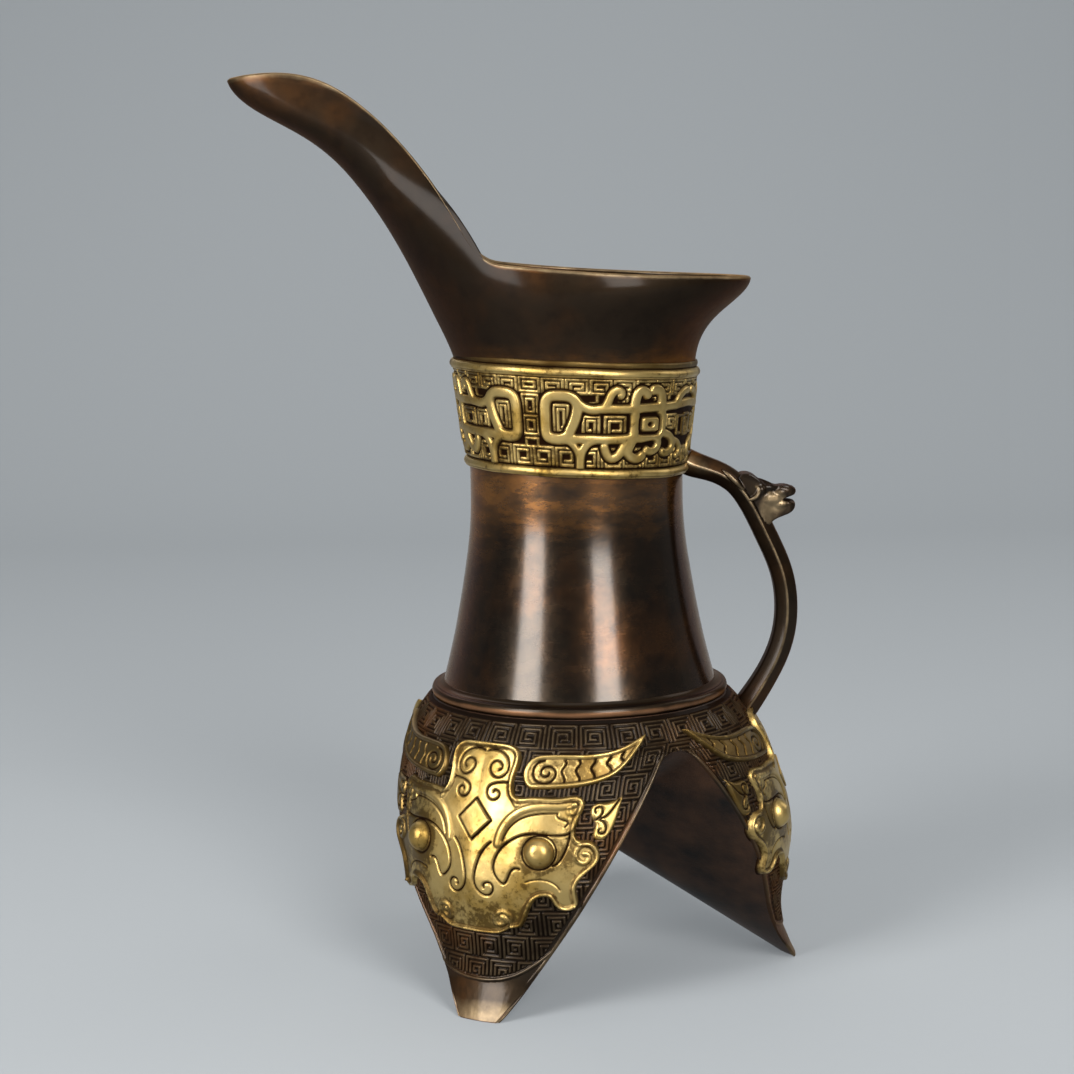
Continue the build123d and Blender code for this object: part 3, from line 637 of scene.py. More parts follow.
def patinated_bronze(name):
    """Cast bronze, rubbed smooth, chemically browned and waxed: a dark glossy skin that lets red
    and amber metal through where it was handled, and stays near black in hollows. Its pale and
    dark marks also lay on painted highlights and painted shade."""
    look = bpy.context.scene.jue_finish
    material, tree, place = new_material(name)
    hollow_and_shade, wear_and_highlight, amber, matt = (mark(tree, kind) for kind in ("hollow_and_shade", "wear_and_highlight", "amber", "matt"))
    # Cloudy patches about 30 mm across, with finer mottling about 5 mm across.
    clouds = noise(tree, place, 0.030, 4.0, 0.55)
    mottle = noise(tree, place, 0.005, 3.0, 0.6)
    # Rubbing left faint streaks round the body: noise drawn out three times round the axis.
    flat = put(tree, "ShaderNodeMapping", None, {"Vector": place, "Scale": (1.0, 1.0, 3.0)})
    streaks = noise(tree, flat.outputs[0], 0.014, 6.0, 0.7)
    skin = layered(
        tree, look.patina,
        (mapped(tree, clouds, 0.44, 0.72, smooth=True), look.patina_warm),
        (mapped(tree, mottle, 0.42, 0.75, 0.0, 0.55, smooth=True), look.patina_deep),
        (mapped(tree, maths(tree, "MULTIPLY", amber, streaks), 0.12, 0.6, smooth=True), look.amber),
        # Pale worn metal where handled; the same mark also lays on painted highlights.
        (mapped(tree, maths(tree, "MULTIPLY", wear_and_highlight, mottle), 0.1, 0.6), look.wear_and_highlight),
        # Near black in hollows; the same mark also lays on painted shade.
        (hollow_and_shade, look.patina_deep),
    )
    rough = mapped(tree, streaks, 0.3, 0.75, 0.2, 0.34)
    rough = maths(tree, "MULTIPLY_ADD", hollow_and_shade, 0.3, rough)
    rough = maths(tree, "MULTIPLY_ADD", matt, 0.2, rough)
    # The wax sits over long shallow waves, about 9 mm, and brush marks under a millimetre.
    waves = bumped(tree, noise(tree, place, 0.009, 2.0), 0.22, 0.0012)
    return close_material(material, tree, {
        "Base Color": skin, "Metallic": 0.9, "Roughness": rough,
        "Specular Tint": linear(look.sheen),
        "Normal": bumped(tree, noise(tree, place, 0.0009, 2.0), 0.10, 0.0003, waves),
        "Coat Weight": mapped(tree, matt, 0.0, 1.0, 0.6, 0.05),
        "Coat Roughness": 0.16, "Coat IOR": 1.5,
    })


def gilt_bronze(name):
    """Gilding and bare brassy metal over the cast relief: bright on what stands up, rubbed thin to
    brown in places, with dark wax left in every recess; the same brown lies as painted shade along
    the edges of the masks and on one side of them."""
    look = bpy.context.scene.jue_finish
    material, tree, place = new_material(name)
    hollow_and_shade, tarnish_and_shade = mark(tree, "hollow_and_shade"), mark(tree, "tarnish_and_shade")
    # Rubbed patches about 12 mm across and specks of lost gilding about 1.6 mm across.
    patches = noise(tree, place, 0.012, 4.0, 0.6)
    specks = noise(tree, place, 0.0016, 3.0, 0.7)
    # The lost gilding also carries painted shade along the edges of the masks and on one side of
    # them.
    loss_and_shade = maths(tree, "MULTIPLY_ADD", tarnish_and_shade, 0.24, maths(tree, "MULTIPLY", specks, patches))
    rough = mapped(tree, patches, 0.3, 0.75, 0.32, 0.5)
    return close_material(material, tree, {
        "Base Color": layered(
            tree, look.gilt_pale,
            (mapped(tree, patches, 0.36, 0.7, smooth=True), look.gilt),
            (mapped(tree, loss_and_shade, 0.31, 0.44, 0.0, 0.75, smooth=True), look.gilt_loss_and_shade),
            (hollow_and_shade, look.gilt_hollow),
        ),
        "Metallic": 1.0, "Roughness": maths(tree, "MULTIPLY_ADD", hollow_and_shade, 0.35, rough),
        # Punch and burnisher marks, too shallow to model.
        "Normal": bumped(tree, specks, 0.16, 0.0004),
    })


def copper_bead(name):
    """Browned bronze bead, with a painted copper reflection along its lower crest."""
    look = bpy.context.scene.jue_finish
    material, tree, place = new_material(name)
    # Patches about 8 mm across break up the painted copper reflection and vary the roughness and
    # bump.
    patches = noise(tree, place, 0.008, 4.0)
    painted_reflection = mapped(tree, maths(tree, "MULTIPLY", mark(tree, "wear_and_highlight"), patches), 0.10, 0.45)
    return close_material(material, tree, {
        "Base Color": layered(
            tree, look.patina, (painted_reflection, look.copper), (mark(tree, "hollow_and_shade"), look.patina_deep)),
        "Metallic": 0.9, "Roughness": mapped(tree, patches, 0.0, 1.0, 0.36, 0.52),
        "Specular Tint": linear(look.sheen),
        "Normal": bumped(tree, patches, 0.15, 0.0006),
        "Coat Weight": 0.25, "Coat Roughness": 0.2,
    })


def raw_cast_bronze(name):
    """The inner faces and edges of the legs: bronze as cast, browned but not rubbed or waxed."""
    look = bpy.context.scene.jue_finish
    material, tree, place = new_material(name)
    # Mould skin: stains about 14 mm across and a sandy grain of half a millimetre.
    stains = mapped(tree, noise(tree, place, 0.014, 5.0, 0.6), 0.3, 0.7)
    return close_material(material, tree, {
        "Base Color": layered(tree, look.patina_deep, (stains, look.cast)),
        "Metallic": 0.7, "Roughness": 0.46,
        "Normal": bumped(tree, noise(tree, place, 0.0005, 2.0), 0.25, 0.0003),
    })


FINISHES = {
    "patinated_bronze": ("browned_waxed_bronze", patinated_bronze),
    "gilt_bronze": ("gilded_cast_bronze", gilt_bronze),
    "copper_bead": ("rubbed_copper_bronze", copper_bead),
    "raw_cast": ("raw_cast_bronze", raw_cast_bronze),
}


def finish_of(slot):
    """The finish of a material slot of the record, or of the raw cast legs, made once."""
    name, make = FINISHES[slot]
    return bpy.data.materials.get(name) or make(name)


# Settings

def relief(name, text, default, low, high):
    """A setting for a small length in millimetres."""
    return FloatProperty(name=name, description=text + ", mm", default=default, min=low, max=high)


def shade(name, text, default):
    """A setting for a colour as sRGB hex."""
    return StringProperty(name=name, description=text, default=default)


def stand(name, text, default, **kind):
    """A setting for where the camera stands."""
    return FloatProperty(name=name, description=text, default=default, **kind)


class JueSizes(bpy.types.PropertyGroup):
    """Sizes of the cast ornament, in millimetres."""

    dragon_relief: relief("Dragon relief", "Height of the dragons over their ground", 1.0, 0.2, 2.0)
    scroll_relief: relief("Scroll relief", "Height of the thunder scroll lines", 0.5, 0.1, 1.0)
    face_relief: relief("Face relief", "Height of the beast faces over the legs", 1.5, 0.5, 3.0)
    horn_relief: relief("Horn relief", "Height of the horns over the legs", 1.9, 0.5, 3.0)
    ear_relief: relief("Ear relief", "Height of the ears over the legs", 1.4, 0.5, 3.0)
    ground_lift: relief("Ground lift", "How far the ground lies over the leg solid", 0.3, 0.05, 0.6)
    relief_step: relief("Relief step", "Spacing of the points that carry relief", 0.24, 0.12, 1.0)


class JueFinish(bpy.types.PropertyGroup):
    """Colours of the metal and of the stage, as sRGB hex."""

    patina: shade("Patina", "Main brown of the waxed bronze", "#221b13")
    patina_warm: shade("Warm patina", "Red-brown clouds in the patina", "#422913")
    # Also laid on as painted shade under the spout, inside the mouth and on the strap's inner flats.
    patina_deep: shade("Deep patina", "Near black of hollows and flecks", "#0c0806")
    sheen: shade("Sheen", "Warm tint of what the patina mirrors", "#f0c08e")
    cast: shade("Cast skin", "Brown of the unrubbed inner faces", "#48301f")
    amber: shade("Amber", "Amber metal that shows near the rings", "#8a5a24")
    # Also the colour of the painted highlights on the head and along the strap's ridges.
    wear_and_highlight: shade("Worn bronze", "Handled edges and toes", "#857459")
    gilt: shade("Gilding", "Main colour of the gilding", "#8a7037")
    gilt_pale: shade("Pale gilding", "Burnished parts of the gilding", "#b69d64")
    # Also the brown of the painted shade on the masks.
    gilt_loss_and_shade: shade("Lost gilding", "Brown where gilding is rubbed off", "#3c2a12")
    gilt_hollow: shade("Gilt hollows", "Brown wax in the hollows of the gilding", "#1d1008")
    # Colour of the painted copper reflection on the crest of the foot bead.
    copper: shade("Copper bead", "Crest of the bead round the foot", "#6e4e35")
    floor: shade("Floor", "Pale floor and backdrop", "#7f8488")
    floor_tooth: shade("Floor tooth", "Grain of the floor and backdrop", "#747a7f")
    lamps: shade("Lamps", "Light of the soft boxes", "#fffaf5")
    room: shade("Room", "Faint light from all sides", "#b9c0c6")


class JueCamera(bpy.types.PropertyGroup):
    """The view from the front, a little above the neck."""

    distance: stand("Distance", "Camera distance from the cup's axis", 0.63433, unit="LENGTH")
    height: stand("Height", "Camera height over the floor", 0.20828, unit="LENGTH")
    aside: stand("Aside", "How far the camera stands left of the axis", 0.011353, unit="LENGTH")
    azimuth: stand("Azimuth", "Turn of the camera about the cup", math.radians(-1.305),
                   subtype="ANGLE")
    pitch: stand("Pitch", "How far the camera looks down", math.radians(7.717), subtype="ANGLE")
    roll: stand("Roll", "Roll of the camera", math.radians(-0.961), subtype="ANGLE")
    focal: stand("Focal length", "Focal length in pixels of the picture", 2268.2)
    picture: IntProperty(name="Picture", description="Width of the picture in pixels", default=1074)


# Pieces

class JUE_OT_mouth(bpy.types.Operator):
    """Make the flared mouth with its tail and spout, as a thin wall with a rounded rim"""

    bl_idname = "jue.mouth"
    bl_label = "Mouth and spout"

    def execute(self, context):
        sections = np.array(MOUTH_SECTIONS)
        left, right, half = (smooth_through(sections[:, 0], sections[:, n]) for n in (1, 2, 3))
        edge = smooth_through(*np.array(MOUTH_RIM).T)
        rows, columns, fine, rounds, lip_rise = 72, 230, 4000, 60, 0.7

        def oval(low, inset):
            """Middle and reach, along the spout, of the level section at a height."""
            return (left(low) + right(low)) / 2, (right(low) - left(low)) / 2 - inset

        def wall(turn, height, inset, lift):
            """Points of the wall; for its inner side it is set in and lifted."""
            low = height - lift
            middle, reach = oval(low, inset)
            across = (half(low) - inset) * np.sin(turn)
            return np.stack((middle + reach * np.cos(turn), across, height), axis=-1)

        def rim_line(inset, lift):
            """Turn, height and share of the rim, from the tail round one side to the spout."""
            ends = []
            for side, start in ((right, 45.0), (left, -90.0)):
                spot = start
                for _ in range(rounds):
                    spot += 0.5 * (side(edge(spot) - lift) - math.copysign(inset, start) - spot)
                ends.append(spot)
            tail, tip = ends
            x = (tail + tip) / 2 + (tail - tip) / 2 * np.cos(np.linspace(0, math.pi, fine))
            middle, reach = oval(edge(x) - lift, inset)
            turn = np.arccos(np.clip((x - middle) / reach, -1, 1))
            turn[0], turn[-1] = 0, math.pi
            spots = wall(turn, edge(x), inset, lift)
            steps = np.linalg.norm(np.diff(spots, axis=0), axis=1)
            along = np.concatenate(([0], np.cumsum(steps)))
            even = np.linspace(0, along[-1], columns)
            top = edge(np.interp(even, along, x))
            return np.interp(even, along, turn), top, even / along[-1]

        def both_sides(values, sense):
            """Values of one side of the rim, carried on back along the other side."""
            return np.concatenate((values, sense * values[-2:0:-1]))

        # Columns stand upright round the bowl, and fan out to the spout where the rim climbs.
        share = np.linspace(0, 1, rows)[:, None]
        layers = []
        for inset, lift, order in ((0, 0, 1), (MOUTH_WALL, MOUTH_LIFT, -1)):
            turn, top, even = rim_line(inset, lift)
            climb = int(np.argmax(top > RIM_CLIMB))
            foot_turn = turn.copy()
            foot_turn[climb:] = np.interp(even[climb:], (even[climb], 1.0), (turn[climb], math.pi))
            turn, foot_turn = both_sides(turn, -1), both_sides(foot_turn, -1)
            top = both_sides(top, 1)
            level = wall(foot_turn, np.full(len(turn), NECK_TOP), inset, lift)
            foot = NECK_TOP - math.tan(NECK_LEAN) * level[:, 0] - MOUTH_SINK
            turns = foot_turn + share**2 * (turn - foot_turn)
            layers.append(wall(turns, foot + share * (top - foot), inset, lift)[::order])
        outer, inner = layers
        middle, span = (outer[-1] + inner[0]) / 2, (inner[0] - outer[-1]) / 2
        bead = np.array([middle - span * math.cos(a) + np.array((0, 0, lip_rise * math.sin(a)))
                         for a in np.radians((25, 60, 90, 120, 155))])
        grid = np.concatenate((outer, bead, inner))
        over_foot = grid[..., 2] - (NECK_TOP - math.tan(NECK_LEAN) * grid[..., 0])
        bore = rows + len(bead) + 1
        wear_and_highlight = np.zeros(grid.shape[:2])
        wear_and_highlight[rows - 2:rows] = np.c_[[0.15, 0.4]]
        wear_and_highlight[rows:bore - 1] = 0.8
        amber = 0.5 * (1 - ramp(over_foot, 2.0, 12.0)) + 0.25 * ramp(grid[..., 0], 0, 40)
        amber[bore:] = 0
        # Over an even dark patina, painted shade darkens the outside under the spout and the inside
        # deeper down the bowl.
        hollow_and_shade = 0.42 + 0.3 * bell(grid[..., 0], -34.0, 22.0)
        hollow_and_shade[rows - 2:bore] = 0
        hollow_and_shade[bore:] = 0.35 + 0.4 * (1 - ramp(over_foot[bore:], 5, 40))
        matt = np.full(wear_and_highlight.shape, 0.88)
        round_piece("mouth_wall", grid, "patinated_bronze", ("mouth_spout",),
                    {"wear_and_highlight": wear_and_highlight, "amber": amber, "hollow_and_shade": hollow_and_shade, "matt": matt})
        return {"FINISHED"}


class JUE_OT_neck_rings(bpy.types.Operator):
    """Make the two gilt bead rings that bound the neck band"""

    bl_idname = "jue.neck_rings"
    bl_label = "Neck rings"

    def execute(self, context):
        angle = full_turn(RING_COLUMNS)
        arc = np.linspace(-90, 90, 25)
        turn = np.radians(arc)
        last = len(arc) + 1
        # A rounded bead with a shallow groove along its lower third, as the wax model was rolled.
        wide, high, deep, groove_at = 1.25, 1.32, 0.16, -38
        groove = deep * bell(arc, groove_at, 11)
        for name, height, seat, crest, fillet, node in NECK_RINGS:
            out = crest - wide + (wide - groove) * np.cos(turn)
            bead = np.column_stack((out, (high - groove) * np.sin(turn)))
            profile = [(seat, -1.3), *bead, *fillet]
            profile.append((seat, profile[-1][1]))
            grid = turned(profile, RING_COLUMNS)
            grid[1:-1, :, 2] += 0.07 * np.sin(3 * angle + 0.6) + 0.05 * np.sin(11 * angle)
            hollow_and_shade = np.zeros(grid.shape[:2])
            hollow_and_shade[:4] = np.c_[[1.0, 0.9, 0.6, 0.3]]
            hollow_and_shade[last - 3:last] = np.c_[[0.4, 0.7, 1.0]]
            waxed = 0.75 * bell(arc, groove_at, 9)[:, None] * (0.5 + 0.5 * np.sin(7 * angle + 1.0))
            hollow_and_shade[1:last] = np.maximum(hollow_and_shade[1:last], waxed)
            tarnish_and_shade = np.full(grid.shape[:2], 0.2)
            if fillet:
                # The gilding of the fillet is half worn away.
                patchy = 0.30 + 0.22 * np.sin(9 * angle + 2.0 * np.sin(4 * angle))
                patchy += 0.5 * ramp(np.cos(angle - math.pi), 0.0, 0.7)
                hollow_and_shade[last:] = 1.0
                hollow_and_shade[last + 1:-1] = np.clip(patchy, 0, 1)
                tarnish_and_shade[last:] = 1.0
            round_piece(name, leaning(grid, height), "gilt_bronze", (node,),
                        {"hollow_and_shade": hollow_and_shade, "tarnish_and_shade": tarnish_and_shade})
        return {"FINISHED"}


class JUE_OT_neck_band(bpy.types.Operator):
    """Make the gilt band with its four dragons over a ground of thunder scrolls"""

    bl_idname = "jue.neck_band"
    bl_label = "Neck band and dragons"

    def execute(self, context):
        size = context.scene.jue_sizes
        quarter, rows = 264, 122
        along = (np.arange(quarter) + 0.5) / quarter * math.pi / 2 * BAND_RADIUS
        over = np.linspace(-BAND_HALF, BAND_HALF, rows)
        spots = np.stack(np.meshgrid(along, over), axis=-1).reshape(-1, 2)
        dragon = self.dragon(spots)
        reach, gap, half_line = 3.0, 1.12, 0.38
        lines = np.full(len(spots), reach)
        for n, (x, y, wide, high) in enumerate(BAND_SCROLLS):
            line = scroll(wide, high, gap, -1 if n % 2 else 1) + (x, y)
            lines = np.minimum(lines, near(spots, line, reach))
        plain = ramp(-dragon, 0.45, 0.7)
        edge = np.abs(spots[:, 1])
        line_height = size.scroll_relief * ramp(half_line - lines, -0.16, 0.16) * plain
        body = 0.90 * ramp(dragon, -0.14, 0.42) + 0.10 * ramp(dragon, 0.2, 1.2)
        height = np.maximum(line_height, size.dragon_relief * body) + 0.03 * hand_work(spots, 2.2)
        height -= 0.25 * ramp(edge, 11.9, 12.4)
        raised = np.maximum(ramp(half_line - lines, -0.12, 0.14) * plain, ramp(dragon, -0.05, 0.3))
        hollow_and_shade = np.maximum(1 - np.clip(raised, 0, 1), 0.9 * ramp(edge, 11.8, 12.2))
        # The gilding is thinner on the scrolls than on the dragons.
        tarnish_and_shade = 0.5 * plain
        # The quarter is mirrored round the neck: partners face each other at the mirror lines.
        fields = np.stack((height, hollow_and_shade, tarnish_and_shade)).reshape(3, rows, quarter)
        height, hollow_and_shade, tarnish_and_shade = np.concatenate((fields, fields[..., ::-1]) * 2, axis=-1)
        columns = 4 * quarter
        turn = math.radians(DRAGON_MIRROR) + (np.arange(columns) + 0.5) / columns * 2 * math.pi
        share = over / (NECK_TOP - NECK_FOOT) + 0.5
        bare = BAND_FOOT_RADIUS + share * (BAND_TOP_RADIUS - BAND_FOOT_RADIUS)
        radius = bare[:, None] + height
        # The plain bore runs back down inside, dark, and closes the sleeve at its foot.
        down = np.array((BAND_HALF, 12.5, 6.0, -6.0, -12.5, -BAND_HALF))
        bore = np.interp(down, (-BAND_HALF, BAND_HALF),
                         (BARREL_PROFILE[-1][1] - BARREL_WALL, BAND_TOP_RADIUS - 2.0))
        bore = np.broadcast_to(bore[:, None], (len(down), columns))
        radius = np.vstack((radius, bore, radius[:1]))
        over = np.concatenate((over, down, over[:1]))
        dark = np.ones((len(down) + 1, columns))
        grid = np.stack((radius * np.cos(turn), radius * np.sin(turn), 0 * radius), axis=-1)
        grid = leaning(grid, (NECK_TOP + NECK_FOOT) / 2)
        grid[..., 2] += over[:, None]
        round_piece("neck_dragon_band", grid, "gilt_bronze", ("neck_band", "neck_dragons"),
                    {"hollow_and_shade": np.vstack((hollow_and_shade, dark)), "tarnish_and_shade": np.vstack((tarnish_and_shade, dark))})
        return {"FINISHED"}

    def dragon(self, spots):
        """Distance within the strokes of the dragon, negative outside them."""
        # Strokes run into each other with soft corners, as in wax.
        soft, strokes = 0.22, np.zeros(len(spots))
        for half_width, *points in DRAGON_STROKES:
            strokes += np.exp((half_width - near(spots, flowing(points), 4.0)) / soft)
        # The eye lies in a sunk box of its own.
        x, y, wide, high = DRAGON_EYE
        corner = 0.9
        boxed = np.maximum(np.abs(spots - (x, y)) - (wide - corner, high - corner), 0)
        boxed = np.linalg.norm(boxed, axis=1)
        pupil = np.hypot((spots[:, 0] - x) / 1.3, spots[:, 1] - y)
        body = np.minimum(soft * np.log(strokes), boxed - 1.75)
        return np.maximum(body, np.minimum(corner - boxed, pupil - 0.55))


class JUE_OT_barrel(bpy.types.Operator):
    """Make the plain waisted barrel, open through into the hollows of the legs"""

    bl_idname = "jue.barrel"
    bl_label = "Barrel"

    def execute(self, context):
        wall = smooth_through(*np.array(BARREL_PROFILE).T)
        foot, bend, top, rows, columns = 78.6, 126.0, 143.2, 90, 288
        up = np.linspace(foot, top, rows)
        outer = np.column_stack((wall(up), up))
        inner = np.column_stack((wall(up) - BARREL_WALL, up))[::-1]
        grid = turned(np.vstack((outer, inner)), columns)
        # The top leans with the neck.
        grid[..., 2] -= ramp(grid[..., 2], bend, top) * math.tan(NECK_LEAN) * grid[..., 0]
        x, y, z = grid[..., 0], grid[..., 1], grid[..., 2]
        angle = np.arctan2(y, x)
        grid[..., :2] *= (1 + 0.0012 * np.sin(3 * angle + z / 21)[..., None])
        amber = 0.6 * ramp(z, 108, 141) + 0.2 * (1 - ramp(z, 80, 92))
        amber += 0.3 * ramp(np.cos(angle - math.radians(178)), 0.6, 1.0)
        amber[rows:] = 0
        hollow_and_shade = np.zeros(grid.shape[:2])
        hollow_and_shade[:2] = 0.7
        hollow_and_shade[rows - 4:rows] = np.c_[[0.2, 0.5, 0.8, 1.0]]
        hollow_and_shade[rows:] = 0.5
        round_piece("barrel_wall", grid, "patinated_bronze", ("barrel",),
                    {"amber": np.clip(amber, 0, 1), "hollow_and_shade": hollow_and_shade})
        return {"FINISHED"}


class JUE_OT_base_ring(bpy.types.Operator):
    """Make the bead round the foot of the barrel, with a painted copper reflection on its crest"""

    bl_idname = "jue.base_ring"
    bl_label = "Base ring"

    def execute(self, context):
        # A rounded fillet, a fine groove over it, then a hollow slope up to the barrel.
        arc = np.linspace(-90, 84, 22)
        turn = np.radians(arc)
        radius, middle, wide, high = BASE_FILLET
        fillet = np.column_stack((radius + wide * np.cos(turn), middle + high * np.sin(turn)))
        share = np.linspace(0, 1, 16)[1:]
        (radius, start), (inward, upward) = BASE_GROOVE[-1], BASE_SLOPE
        slope = np.column_stack((radius - inward * share**0.6, start + upward * share**1.3))
        profile = np.vstack((BASE_FOOT, fillet, BASE_GROOVE, slope, BASE_TOP))
        grid = turned(profile, RING_COLUMNS)
        angle = full_turn(RING_COLUMNS)
        grid[1:-1, :, 2] += 0.05 * np.sin(5 * angle) + 0.04 * np.sin(13 * angle + 1)
        last = len(arc)
        wear_and_highlight = np.zeros(grid.shape[:2])
        # A painted copper reflection lies along the crest of the fillet, a little below its middle.
        wear_and_highlight[1:last + 1] = bell(arc, -8, 30)[:, None]
        hollow_and_shade = np.zeros(grid.shape[:2])
        hollow_and_shade[last:last + 5] = np.c_[[0.6, 1.0, 1.0, 1.0, 0.5]]
        round_piece("base_bead", grid, "copper_bead", ("base_ring",),
                    {"wear_and_highlight": wear_and_highlight, "hollow_and_shade": hollow_and_shade})
        return {"FINISHED"}


class JUE_OT_legs(bpy.types.Operator):
    """Finish the leg solids and lay the cast thunder-scroll ground over their faces"""

    bl_idname = "jue.legs"
    bl_label = "Legs"

    def execute(self, context):
        size = context.scene.jue_sizes
        heights = height_at(np.arange(slant(FACE_FOOT), slant(FACE_TOP), size.relief_step))
        solids = packed_legs()
        reach_left, reach_right = leg_reach(heights, solids[LEGS["handle"]])
        columns = int(2 * max(reach_left.max(), reach_right.max()) / size.relief_step)
        share = np.linspace(-1, 1, columns)
        across = np.where(share < 0, share * reach_left[:, None], share * reach_right[:, None])
        height = np.broadcast_to(heights[:, None], across.shape)
        bare = leg_points(across, height)
        up = slant(height)
        edge = np.minimum(across + reach_left[:, None], reach_right[:, None] - across)
        # The edge runs aslant, so the distance square to it is shorter than along the row.
        rise = np.abs(np.gradient(reach_right, slant(heights)))[:, None]
        edge = edge / np.sqrt(1 + np.minimum(rise, 3.0) ** 2)
        open_edge = 1 - ramp(height, *ARCH_END)
        lines = self.ground_lines(bare, across, up)
        toe = unrolled(TOE_BORDER)
        aside = np.abs(across - MASK_SHIFT)
        mask_spots = np.column_stack((aside.ravel(), up.ravel()))
        border = near(mask_spots, flowing(toe), 3.0).reshape(across.shape)
        over_border = up - np.interp(aside, toe[:, 0], toe[:, 1])
        worked = ramp(over_border, 0.7, 1.1) * (1 - open_edge * (1 - ramp(edge, 1.9, 2.3)))
        half_line, half_roll, half_rim, tuck = 0.40, 0.5, 0.6, 0.2
        line = ramp(half_line - lines, -0.14, 0.16) * worked
        roll = rolled(border, half_roll) * (1 - ramp(edge, 2 * tuck, tuck) * open_edge)
        rim = rolled(edge - half_rim, half_rim) * open_edge * ramp(height, 9.0, 16.0)
        lift = size.ground_lift * (0.3 + 0.7 * ramp(height, 0.5, 6.0))
        raised = lift + size.scroll_relief * np.maximum(line, np.maximum(0.9 * roll, 0.9 * rim))
        raised += 0.04 * hand_work(np.stack((across, up), axis=-1), 3.0) * worked
        tucked = 0.5 * (1 - ramp(edge, 0.0, tuck)) * open_edge
        raised = np.where(edge < tuck, raised - tucked, raised)
        hollow_and_shade = worked * (1 - 0.85 * line) * (1 - np.maximum(roll, rim))
        wear_and_highlight = np.maximum(0.42 * rim, 0.36 * roll) + 0.3 * line
        wear_and_highlight += 0.62 * (1 - ramp(height, 0.5, 8.0)) * (1 - worked)
        marks = {"hollow_and_shade": np.clip(hollow_and_shade, 0, 1), "wear_and_highlight": np.clip(wear_and_highlight, 0, 1),
                 "amber": 0.2 * (1 - worked), "matt": 0.7 + 0.25 * worked}
        # Under the beast faces the ground is hidden, and is left out.
        face = flowing(unrolled(mirrored_loop(FACE_EDGE)))
        covered = inside(np.column_stack(((across - MASK_SHIFT).ravel(), up.ravel())), face)
        quads = grid_quads(*across.shape, keep=(covered < 1.2).reshape(across.shape))
        normals = outward(bare)
        points = bare + normals * (raised + proud_over(bare, normals, solids))[..., None]
        for place, azimuth in LEGS.items():
            drop_loose(mesh_piece("leg_ground_" + place, spun(points, azimuth), quads,
                                  "patinated_bronze", (), marks))
            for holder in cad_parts["leg_" + place].material_slots:
                holder.material = finish_of("raw_cast")
        return {"FINISHED"}

    def ground_lines(self, bare, across, up):
        """Distance from the thunder scrolls of the ground, up to a reach."""
        reach = 1.5
        lines = np.full(across.size, 3.0)
        top = slant(SHOULDER_MIDDLE)
        # Shoulder row: squares set out round the axis, so that they follow the bead above.
        azimuth = np.arctan2(bare[..., 1], bare[..., 0])
        ring = np.column_stack(((azimuth * SHOULDER_RADIUS).ravel(), up.ravel()))
        for n in range(SHOULDER_SQUARES):
            turn = (n - SHOULDER_SQUARES // 2) * math.radians(120 / SHOULDER_SQUARES)
            square = scroll(*SHOULDER_SCROLL, 1 if n % 2 else -1) + (turn * SHOULDER_RADIUS, top)
            lines = np.minimum(lines, near(ring, square, reach))
        # Below it, rows of squares that are offset by half a square in turn.
        spots = np.column_stack((across.ravel(), up.ravel()))
        for row, low in enumerate(np.arange(top - GROUND_ROW_STEP, slant(8.0), -GROUND_ROW_STEP)):
            for n in range(-7, 8):
                middle = (n + 0.5 * (row % 2)) * GROUND_COLUMN_STEP + MASK_SHIFT
                square = scroll(*GROUND_SCROLL, 1 if (n + row) % 2 else -1) + (middle, low)
                lines = np.minimum(lines, near(spots, square, reach))
        return lines.reshape(across.shape)


def raised_sheet(half, edges, height_of, step):
    """A relief over one side of the mask or over all of it: its grid, its fields and its faces."""
    loop = flowing(unrolled(edges if half else mirrored_loop(edges)))
    margin, skirt = 0.9, 0.6
    low, high = loop.min(0) - margin, loop.max(0) + margin
    across, up = np.meshgrid(np.arange(low[0], high[0], step),
                             np.arange(low[1], min(high[1], slant(FACE_TOP)), step))
    spots = np.column_stack((across.ravel(), up.ravel()))
    depth = inside(spots, loop)
    height, hollow_and_shade, tarnish_and_shade = height_of(spots, depth)
    quads = grid_quads(*across.shape, keep=(depth > -skirt).reshape(across.shape))
    return across, up, height.reshape(across.shape), hollow_and_shade, tarnish_and_shade, quads


def plate(depth, over, rounding):
    """Height of a plate with rounded edges that goes down into its ground."""
    sunk, skirt = 0.3, 0.25
    return -sunk + (sunk + over) * (1 - (1 - np.clip((depth + skirt) / rounding, 0, 1)) ** 2)


def chased(spots, lines, height, hollow_and_shade, field=1.0, flank=0.1):
    """Cuts fine chased lines into a relief, within a field: its height and its hollows."""
    half_width, sink = 0.36, 0.55
    for line in lines:
        away = near(spots, flowing(unrolled(line), 0.25), 1.5)
        height = height - field * sink * ramp(half_width - away, -flank, 0.3)
        hollow_and_shade = np.maximum(hollow_and_shade, field * ramp(half_width - away, -0.06, 0.2))
    return height, hollow_and_shade


